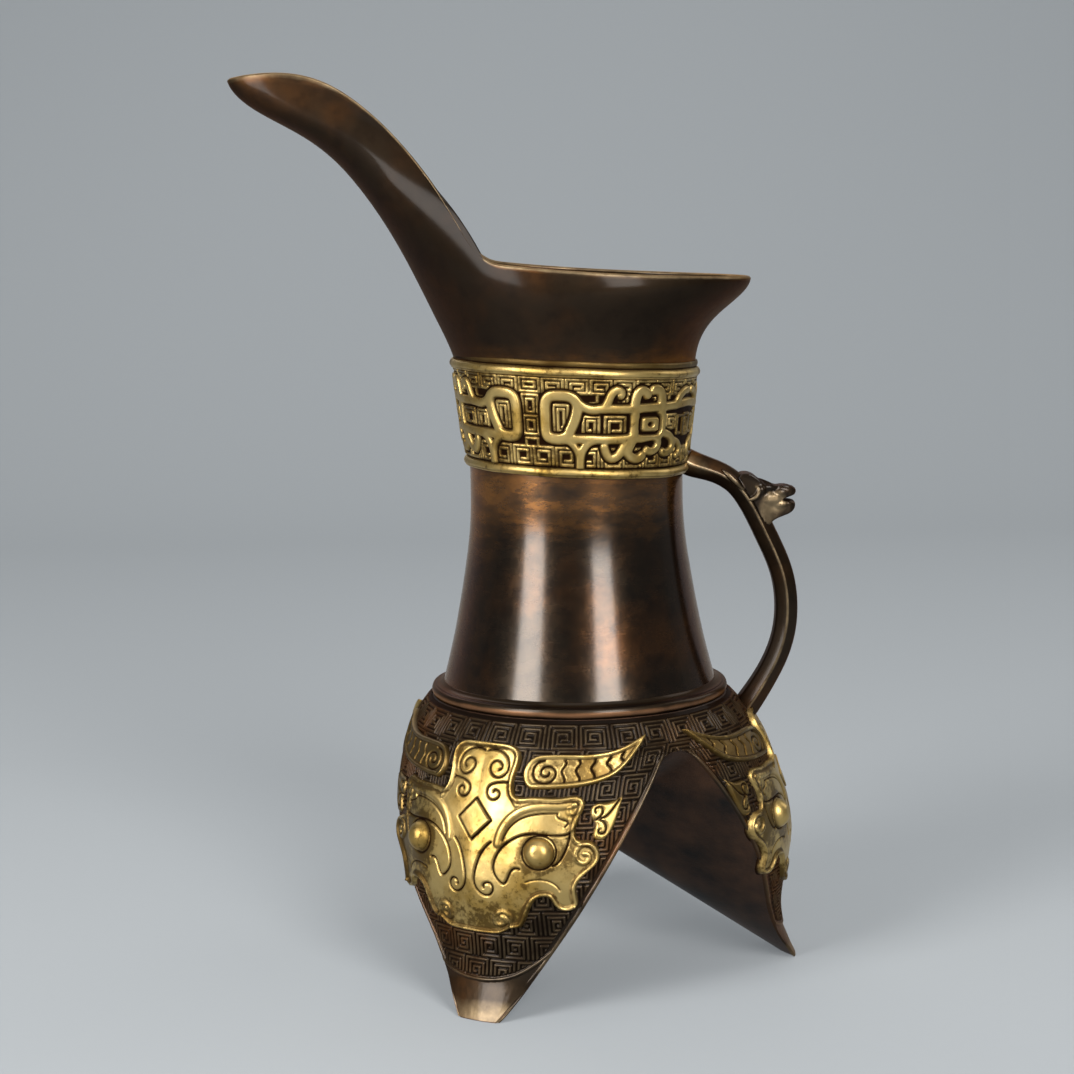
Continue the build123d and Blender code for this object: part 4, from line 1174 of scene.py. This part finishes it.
def face_height(spots, depth):
    """The beast's face: plaque, brows, nose, cheeks and lips, with chased lines."""
    size = bpy.context.scene.jue_sizes
    x, up = np.abs(spots[:, 0]), spots[:, 1]
    side = np.column_stack((x, up))
    on = ramp(depth, 0.0, 0.8)
    apart = np.linalg.norm(side - unrolled([EYE[:2]])[0], axis=1)
    height = plate(depth, size.face_relief - 0.25, 1.3)
    height += on * 0.55 * bell(apart, 0.0, 9.0)
    nose = ramp(up, slant(26), slant(40)) * (1 - ramp(up, slant(46), slant(56)))
    height += on * 0.65 * bell(x, 0.0, 4.2) * nose
    height += on * 0.35 * bell(x, 3.5, 4.0) * bell(up, slant(65), 6.0)
    # The plaque has a rolled edge with a dark line inside it.
    height += 0.32 * rolled(depth - 0.75, 0.65)
    hollow_and_shade = np.maximum(1 - ramp(depth, -0.1, 0.45), 0.6 * bell(depth, 1.65, 0.28))
    for half_width, rise, *points in FACE_ROLLS:
        away = near(side, flowing(unrolled(points)), 2.0)
        height += on * rise * rolled(away, half_width)
        hollow_and_shade = np.maximum(hollow_and_shade, 0.55 * on * bell(away, half_width + 0.15, 0.22))
    jewel = unrolled(JEWEL)
    height += 0.45 * ramp(inside(spots, jewel), 0.0, 0.5)
    cut = near(spots, np.vstack((jewel, jewel[:1])), 1.5)
    height -= 0.5 * ramp(0.42 - cut, 0.0, 0.34)
    hollow_and_shade = np.maximum(hollow_and_shade, ramp(0.40 - cut, 0.0, 0.2))
    for half_width, sink, *points in FACE_GROOVES:
        away = near(side, flowing(unrolled(points)), 2.0)
        height -= sink * ramp(half_width - away, -0.12, half_width)
        hollow_and_shade = np.maximum(hollow_and_shade, ramp(half_width - away, -0.06, 0.2))
    ringed = np.abs(apart - EYE[2] - 0.2)
    height -= 0.45 * ramp(0.4 - ringed, 0, 0.4)
    hollow_and_shade = np.maximum(hollow_and_shade, ramp(0.42 - ringed, 0, 0.25))
    # The gilding is darkened along the edge, on the chin, beside the nostrils and under the brows:
    # thin gilding, with painted shade along the edge and under the brows.
    chin = 1 - ramp(up, slant(26), slant(36))
    beside_x, beside_up = unrolled([(24.6, 47.0)])[0]
    beside = bell(x, beside_x, 3.4) * bell(up, beside_up, 7.0)
    socket = bell(apart, EYE[2] + 1.0, 1.2)
    edge = bell(depth, 1.75, 0.45)
    tarnish_and_shade = np.max((0.9 * edge, 0.65 * chin, 0.9 * beside, 0.65 * socket), axis=0)
    return height + 0.05 * on * hand_work(spots, 2.6), np.clip(hollow_and_shade, 0, 1), tarnish_and_shade


def horn_height(spots, depth):
    """A horn with a raised rim, a coiled root and notched bars out to the tip."""
    size = bpy.context.scene.jue_sizes
    height = plate(depth, size.horn_relief - 0.3, 0.9) + 0.5 * rolled(depth - 0.75, 0.6)
    hollow_and_shade = np.maximum(1 - ramp(depth, -0.1, 0.4), 0.85 * bell(depth, 1.5, 0.2))
    height, hollow_and_shade = chased(spots, HORN_BARS, height, hollow_and_shade, ramp(depth, 1.3, 1.7))
    height, hollow_and_shade = chased(spots, (HORN_SPIRAL,), height, hollow_and_shade, ramp(depth, 0.9, 1.4))
    return height + 0.04 * hand_work(spots, 1.9), np.clip(hollow_and_shade, 0, 1), 0.7 * ramp(depth, 1.2, 1.6)


def ear_height(spots, depth):
    """A leaf-shaped ear with two small coils."""
    size = bpy.context.scene.jue_sizes
    height, hollow_and_shade = plate(depth, size.ear_relief, 1.4), 1 - ramp(depth, -0.1, 0.4)
    height, hollow_and_shade = chased(spots, EAR_GROOVES, height, hollow_and_shade, flank=0.12)
    return height, np.clip(hollow_and_shade, 0, 1), 0.5 * (1 - ramp(depth, 0.2, 1.2))


class JUE_OT_masks(bpy.types.Operator):
    """Make the gilt beast mask of each leg: face, horns, ears and eyes"""

    bl_idname = "jue.masks"
    bl_label = "Beast masks"

    def execute(self, context):
        step = context.scene.jue_sizes.relief_step
        for part, edges, height_of, half in (
            ("face", FACE_EDGE, face_height, False),
            ("horns", HORN_EDGE, horn_height, True),
            ("ears", EAR_EDGE, ear_height, True),
        ):
            across, up, height, hollow_and_shade, tarnish_and_shade, quads = raised_sheet(half, edges, height_of, step)
            points, faces = [], []
            for sense in (1, -1) if half else (1,):
                bare = leg_points(sense * across + MASK_SHIFT, height_at(up))
                sheet = bare + sense * outward(bare) * height[..., None]
                faces.append(quads[:, ::sense] + len(points) * across.size)
                points.append(sheet.reshape(-1, 3))
            points, faces = np.vstack(points), np.vstack(faces)
            for place, azimuth in LEGS.items():
                node = "mask_" + part + "_" + place
                if half:
                    # The mirrored half is darkened by lost gilding and painted shade.
                    thin = np.concatenate((tarnish_and_shade, tarnish_and_shade + GILDING_LOSS_AND_SHADE[place]))
                    dark = np.tile(hollow_and_shade, 2)
                else:
                    # One side of the face is darkened by lost gilding and painted shade.
                    rubbed = 1 - ramp(across.ravel(), -22.0, -6.0)
                    thin = tarnish_and_shade + 0.5 * GILDING_LOSS_AND_SHADE[place] * rubbed
                    dark = hollow_and_shade
                drop_loose(mesh_piece("gilt_" + node, spun(points, azimuth), faces, "gilt_bronze",
                                      (node,), {"hollow_and_shade": dark, "tarnish_and_shade": thin}))
        self.eyes()
        return {"FINISHED"}

    def eyes(self):
        """Round eyes: domes with a soft flat at the front, seated in a groove."""
        points, faces, marks = [], [], []
        rows, columns, lift = 26, 64, 0.55
        # Rows run from just behind the widest round, in the groove, to a small flat at the tip.
        seat, flat = 100, 5
        tip = np.radians(np.linspace(seat, flat, rows))[:, None]
        turn = full_turn(columns)[None]
        uneven = 0.010 * np.sin(3 * turn + 0.7) * np.sin(tip)
        swell = EYE[2] * (1 - 0.05 * bell(np.degrees(tip), 0.0, 16) + uneven)
        across, up = unrolled([EYE[:2]])[0]
        for side in (-1, 1):
            middle = side * across + MASK_SHIFT
            spot = leg_points(np.array([[middle, middle + 0.1]] * 2),
                              np.array([[height_at(up)] * 2, [height_at(up + 0.1)] * 2]))
            normal = outward(spot)[0, 0]
            level = unit(np.cross((0, 0, 1.0), normal))
            upright = np.cross(normal, level)
            ring = np.cos(turn)[..., None] * level + np.sin(turn)[..., None] * upright
            dome = np.cos(tip)[..., None] * normal + np.sin(tip)[..., None] * ring
            dome = spot[0, 0] + normal * lift + swell[..., None] * dome
            start = len(points) * rows * columns
            points.append(dome.reshape(-1, 3))
            faces += (grid_quads(rows, columns, around=True) + start).tolist()
            faces.append([start + (rows - 1) * columns + n for n in range(columns)])
            seated = ramp(np.degrees(tip), 58, 84)
            marks.append(np.broadcast_to(seated, (rows, columns)).ravel())
        points, marks = np.vstack(points), np.concatenate(marks)
        for place, azimuth in LEGS.items():
            node = "mask_eyes_" + place
            mesh_piece("gilt_" + node, spun(points, azimuth), faces, "gilt_bronze", (node,),
                       {"hollow_and_shade": marks})


class JUE_OT_handle_strap(bpy.types.Operator):
    """Make the ridged strap of the handle"""

    bl_idname = "jue.handle_strap"
    bl_label = "Handle strap"

    def execute(self, context):
        line = flowing(STRAP_BOW, 0.5)
        heading = unit(np.gradient(line, axis=0))
        out = np.column_stack((-heading[:, 1], heading[:, 0]))
        # Six flats with soft arrises: the ridge along each side catches the light.
        corners = np.array(STRAP_SECTION)
        arris, section = 0.16, []
        for before, here, after in zip(np.roll(corners, 1, 0), corners, np.roll(corners, -1, 0)):
            start, end = here + arris * (before - here), here + arris * (after - here)
            for share in (0.0, 0.25, 0.5, 0.75, 1.0):
                left = 1 - share
                section.append(left**2 * start + 2 * share * left * here + share**2 * end)
        section = np.array(section)
        wide, thick = np.abs(section[:, 0])[None], section[:, 1]
        along = np.linspace(0, 1, len(line))
        swell = 1 + 0.16 * bell(along, 0.02, 0.07) + 0.10 * bell(along, 0.97, 0.08)
        grid = np.zeros((len(line), len(section), 3))
        grid[..., 0] = line[:, :1] + np.outer(out[:, 0] * swell, thick)
        grid[..., 1] = np.outer(swell, section[:, 0])
        grid[..., 2] = line[:, 1:] + np.outer(out[:, 1] * swell, thick)
        handled = (0.06 + 0.5 * (1 - ramp(along, 0.05, 0.16)))[:, None]
        # The ridge along each side gets a painted highlight; near the root the strap is rubbed pale
        # by handling.
        wear_and_highlight = 0.75 * ramp(wide, 4.1, 4.45) + ramp(wide, 2.0, 4.0) * handled
        amber = np.broadcast_to((0.5 * (1 - ramp(along, 0.03, 0.12)) + 0.05)[:, None], wear_and_highlight.shape)
        # The flats that face the cup get painted shade.
        hollow_and_shade = np.broadcast_to(0.8 * ramp(-thick, 0.3, 0.9)[None], wear_and_highlight.shape)
        faces = grid_quads(*wear_and_highlight.shape, around=True).tolist()
        ends = np.arange(wear_and_highlight.size).reshape(wear_and_highlight.shape)[[0, -1]]
        faces += [ends[0, ::-1].tolist(), ends[1].tolist()]
        matt = np.full(wear_and_highlight.shape, 0.75)
        mesh_piece("handle_bow", grid, faces, "patinated_bronze", ("handle_strap",),
                   {"wear_and_highlight": wear_and_highlight, "amber": amber, "hollow_and_shade": hollow_and_shade, "matt": matt})
        return {"FINISHED"}


def round_bar(points, radii, sides=12):
    """A tapered round bar along points, closed at both ends: points and faces."""
    line = flowing(points, 0.35)
    radius = np.interp(np.linspace(0, 1, len(line)), np.linspace(0, 1, len(radii)), radii)
    heading = unit(np.gradient(line, axis=0))
    first = unit(np.cross(heading, (0.3, 0.9, 0.2)))
    second = np.cross(heading, first)
    turn = full_turn(sides)[None, :, None]
    ring = np.cos(turn) * first[:, None] + np.sin(turn) * second[:, None]
    grid = line[:, None] + radius[:, None, None] * ring
    faces = grid_quads(len(line), sides, around=True).tolist()
    faces += [list(range(sides))[::-1], [(len(line) - 1) * sides + n for n in range(sides)]]
    return grid.reshape(-1, 3), faces


class JUE_OT_handle_head(bpy.types.Operator):
    """Make the beast head at the top of the handle"""

    bl_idname = "jue.handle_head"
    bl_label = "Handle head"

    def execute(self, context):
        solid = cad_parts["handle_head"].data
        points = [np.array([v.co for v in solid.vertices]) / MM]
        faces = [list(p.vertices) for p in solid.polygons]
        total = len(points[0])
        for line, radii in HEAD_BARS:
            for side in ((1, -1) if line[1][1] else (1,)):
                spots, loops = round_bar(np.array(line) * (1, side, 1), radii)
                points.append(spots)
                faces += [[n + total for n in loop] for loop in loops]
                total += len(spots)
        piece = mesh_piece("handle_beast", np.vstack(points), faces, "patinated_bronze",
                           ("handle_head",))
        # The modelled bits run together as in a wax model, then soften.
        weld = piece.modifiers.new("run together", "REMESH")
        weld.mode = "VOXEL"
        weld.voxel_size = 0.22 * MM
        weld.use_smooth_shade = True
        soft = piece.modifiers.new("soften", "SMOOTH")
        soft.factor = 0.5
        soft.iterations = 9
        graph = context.evaluated_depsgraph_get()
        made = bpy.data.meshes.new_from_object(piece.evaluated_get(graph))
        piece.modifiers.clear()
        piece.data = made
        set_marks(made, self.marks(made))
        made.polygons.foreach_set("use_smooth", [True] * len(made.polygons))
        return {"FINISHED"}

    def marks(self, mesh):
        """Where the head is dark, where it is rubbed pale and where it has painted highlights."""
        place = np.zeros(len(mesh.vertices) * 3)
        mesh.vertices.foreach_get("co", place)
        place = place.reshape(-1, 3) / MM
        x, y, z = place.T
        # Hollows hold dark wax: there, a short step outward still finds metal close by.
        tree, step = search_tree(mesh), 0.9 * MM
        away = [tree.find_nearest(v.co + v.normal * step)[3] for v in mesh.vertices]
        buried = ramp(1 - np.array(away) / step, 0.03, 0.30)
        # The slit of the mouth and the top of the head, above a slanting line, are darkened as well.
        mouth = ramp(x, 58.4, 59.4) * (1 - ramp(np.abs(z - 132.35), 0.7, 1.2))
        crown = ramp(z - 0.42 * (54.0 - np.minimum(x, 54.0)), 134.9, 136.0)
        hollow_and_shade = np.max((buried, 0.85 * mouth, 0.75 * crown), axis=0)
        # Painted highlights make the cheeks and throat pale; the ridges of ear and cheek are rubbed
        # pale and also carry painted highlights.
        cheek = bell(x, 55.6, 3.0) * bell(z, 131.4, 2.6)
        throat = bell(x, 53.0, 2.6) * bell(z, 127.6, 2.6)
        ridge = 0
        for (line, _), width in zip(HEAD_BARS, (0.7, 0.5)):
            seen = flowing(np.array(line)[:, ::2])
            ridge = ridge + bell(near(place[:, ::2], seen, 3.0), 0.0, width)
        wear_and_highlight = 1.3 * (cheek + 0.7 * throat) + 0.6 * ridge * ramp(np.abs(y), 3.6, 4.4)
        return {"hollow_and_shade": np.clip(hollow_and_shade, 0, 1), "wear_and_highlight": np.clip(wear_and_highlight * (1 - 0.7 * hollow_and_shade), 0, 1),
                "amber": np.full(len(x), 0.1), "matt": np.full(len(x), 0.7)}


class JUE_OT_stage(bpy.types.Operator):
    """Set the pale floor and backdrop, the soft lights and the camera"""

    bl_idname = "jue.stage"
    bl_label = "Stage"

    def execute(self, context):
        self.floor(context.scene)
        self.lights(context.scene)
        self.camera(context.scene)
        context.scene.view_settings.view_transform = "Standard"
        return {"FINISHED"}

    def floor(self, scene):
        """Floor and backdrop in one sweep of paper."""
        look = scene.jue_finish
        far, start, bend, top = 14.0, 0.9, 0.8, 4.0
        sweep = [(-far, 0.0), (-1.0, 0.0), (0.0, 0.0)]
        sweep += [(start + bend * math.sin(a), bend - bend * math.cos(a))
                  for a in np.radians(np.linspace(0, 90, 24))]
        sweep += [(start + bend, top)]
        columns = (-far, -1.5, 1.5, far)
        mesh = bpy.data.meshes.new("floor_sweep")
        mesh.from_pydata([(x, y, z) for y, z in sweep for x in columns], [],
                         grid_quads(len(sweep), len(columns)).tolist())
        mesh.polygons.foreach_set("use_smooth", [True] * len(mesh.polygons))
        material, tree, place = new_material("matt_paper")
        # The tooth of the paper, about 4 mm, is a faint tint.
        tooth = mapped(tree, noise(tree, place, 0.004, 3.0), 0.0, 1.0, 0.0, 0.06)
        paper = layered(tree, look.floor, (tooth, look.floor_tooth))
        # The far paper stays pale to the eye and in the metal, where the lamps hardly reach it.
        path = put(tree, "ShaderNodeLightPath").outputs
        seen = maths(tree, "MAXIMUM", path["Is Camera Ray"], path["Is Glossy Ray"])
        seen = maths(tree, "MAXIMUM", seen, path["Is Transmission Ray"])
        mesh.materials.append(close_material(material, tree, {
            "Base Color": paper, "Roughness": 0.9, "Specular IOR Level": 0.0,
            "Emission Color": paper, "Emission Strength": maths(tree, "MULTIPLY", seen, PAPER_LIFT),
        }))
        floor = bpy.data.objects.new("floor_sweep", mesh)
        scene.collection.objects.link(floor)

    def lights(self, scene):
        """Soft boxes round the cup, and faint light from all sides."""
        look = scene.jue_finish
        aim = Vector((0, 0, 0.13))
        for name, bearing, rise, away, wide, tall, power in LAMPS:
            lamp = bpy.data.lights.new(name, "AREA")
            lamp.shape = "RECTANGLE"
            lamp.size = wide
            lamp.size_y = tall
            lamp.energy = power
            lamp.color = linear(look.lamps)[:3]
            holder = bpy.data.objects.new(name, lamp)
            a, e = math.radians(bearing), math.radians(rise)
            towards = Vector((math.cos(a) * math.cos(e), math.sin(a) * math.cos(e), math.sin(e)))
            holder.location = aim + away * towards
            holder.rotation_mode = "QUATERNION"
            holder.rotation_quaternion = (aim - holder.location).to_track_quat("-Z", "Y")
            scene.collection.objects.link(holder)
        world = bpy.data.worlds.new("soft_room")
        world.use_nodes = True
        sky = world.node_tree.nodes["Background"]
        sky.inputs["Color"].default_value = linear(look.room)
        sky.inputs["Strength"].default_value = ROOM_STRENGTH
        scene.world = world

    def camera(self, scene):
        """The camera, from its settings."""
        eye = scene.jue_camera
        data = bpy.data.cameras.new("camera")
        data.sensor_width = 36.0
        data.lens = eye.focal / eye.picture * data.sensor_width
        data.clip_start, data.clip_end = 0.01, 50.0
        camera = bpy.data.objects.new("camera", data)
        scene.collection.objects.link(camera)
        back = Vector((math.sin(eye.azimuth), -math.cos(eye.azimuth), 0))
        level = Vector((math.cos(eye.azimuth), math.sin(eye.azimuth), 0))
        ahead = -back * math.cos(eye.pitch) - Vector((0, 0, math.sin(eye.pitch)))
        upright = level.cross(ahead)
        cos, sin = math.cos(eye.roll), math.sin(eye.roll)
        right, up = cos * level + sin * upright, cos * upright - sin * level
        spot = back * eye.distance + Vector((0, 0, eye.height)) - level * eye.aside
        turn = Matrix((right, up, -ahead)).transposed().to_4x4()
        camera.matrix_world = Matrix.Translation(spot) @ turn
        scene.camera = camera


class JUE_PT_panel(bpy.types.Panel):
    """Lists the pieces of the jue"""

    bl_idname = "JUE_PT_panel"
    bl_label = "Bronze jue"
    bl_space_type = "VIEW_3D"
    bl_region_type = "UI"
    bl_category = "Jue"

    def draw(self, context):
        for operator in OPERATORS:
            self.layout.operator(operator.bl_idname)
        for name in GROUPS:
            group = getattr(context.scene, name)
            box = self.layout.box()
            for setting in group.__annotations__:
                box.prop(group, setting)


OPERATORS = (
    JUE_OT_stage, JUE_OT_mouth, JUE_OT_neck_rings, JUE_OT_neck_band, JUE_OT_barrel,
    JUE_OT_base_ring, JUE_OT_legs, JUE_OT_masks, JUE_OT_handle_strap, JUE_OT_handle_head,
)
GROUPS = {"jue_sizes": JueSizes, "jue_finish": JueFinish, "jue_camera": JueCamera}


def register():
    for group in GROUPS.values():
        bpy.utils.register_class(group)
    for name, group in GROUPS.items():
        setattr(bpy.types.Scene, name, PointerProperty(type=group))
    for kind in OPERATORS + (JUE_PT_panel,):
        bpy.utils.register_class(kind)


def unregister():
    for kind in reversed(OPERATORS + (JUE_PT_panel,)):
        bpy.utils.unregister_class(kind)
    for name, group in GROUPS.items():
        delattr(bpy.types.Scene, name)
        bpy.utils.unregister_class(group)


def main():
    register()
    bpy.ops.jue.stage()
    bpy.ops.jue.mouth()
    bpy.ops.jue.neck_rings()
    bpy.ops.jue.neck_band()
    bpy.ops.jue.barrel()
    bpy.ops.jue.base_ring()
    bpy.ops.jue.legs()
    bpy.ops.jue.masks()
    bpy.ops.jue.handle_strap()
    bpy.ops.jue.handle_head()


if __name__ == "__main__":
    main()
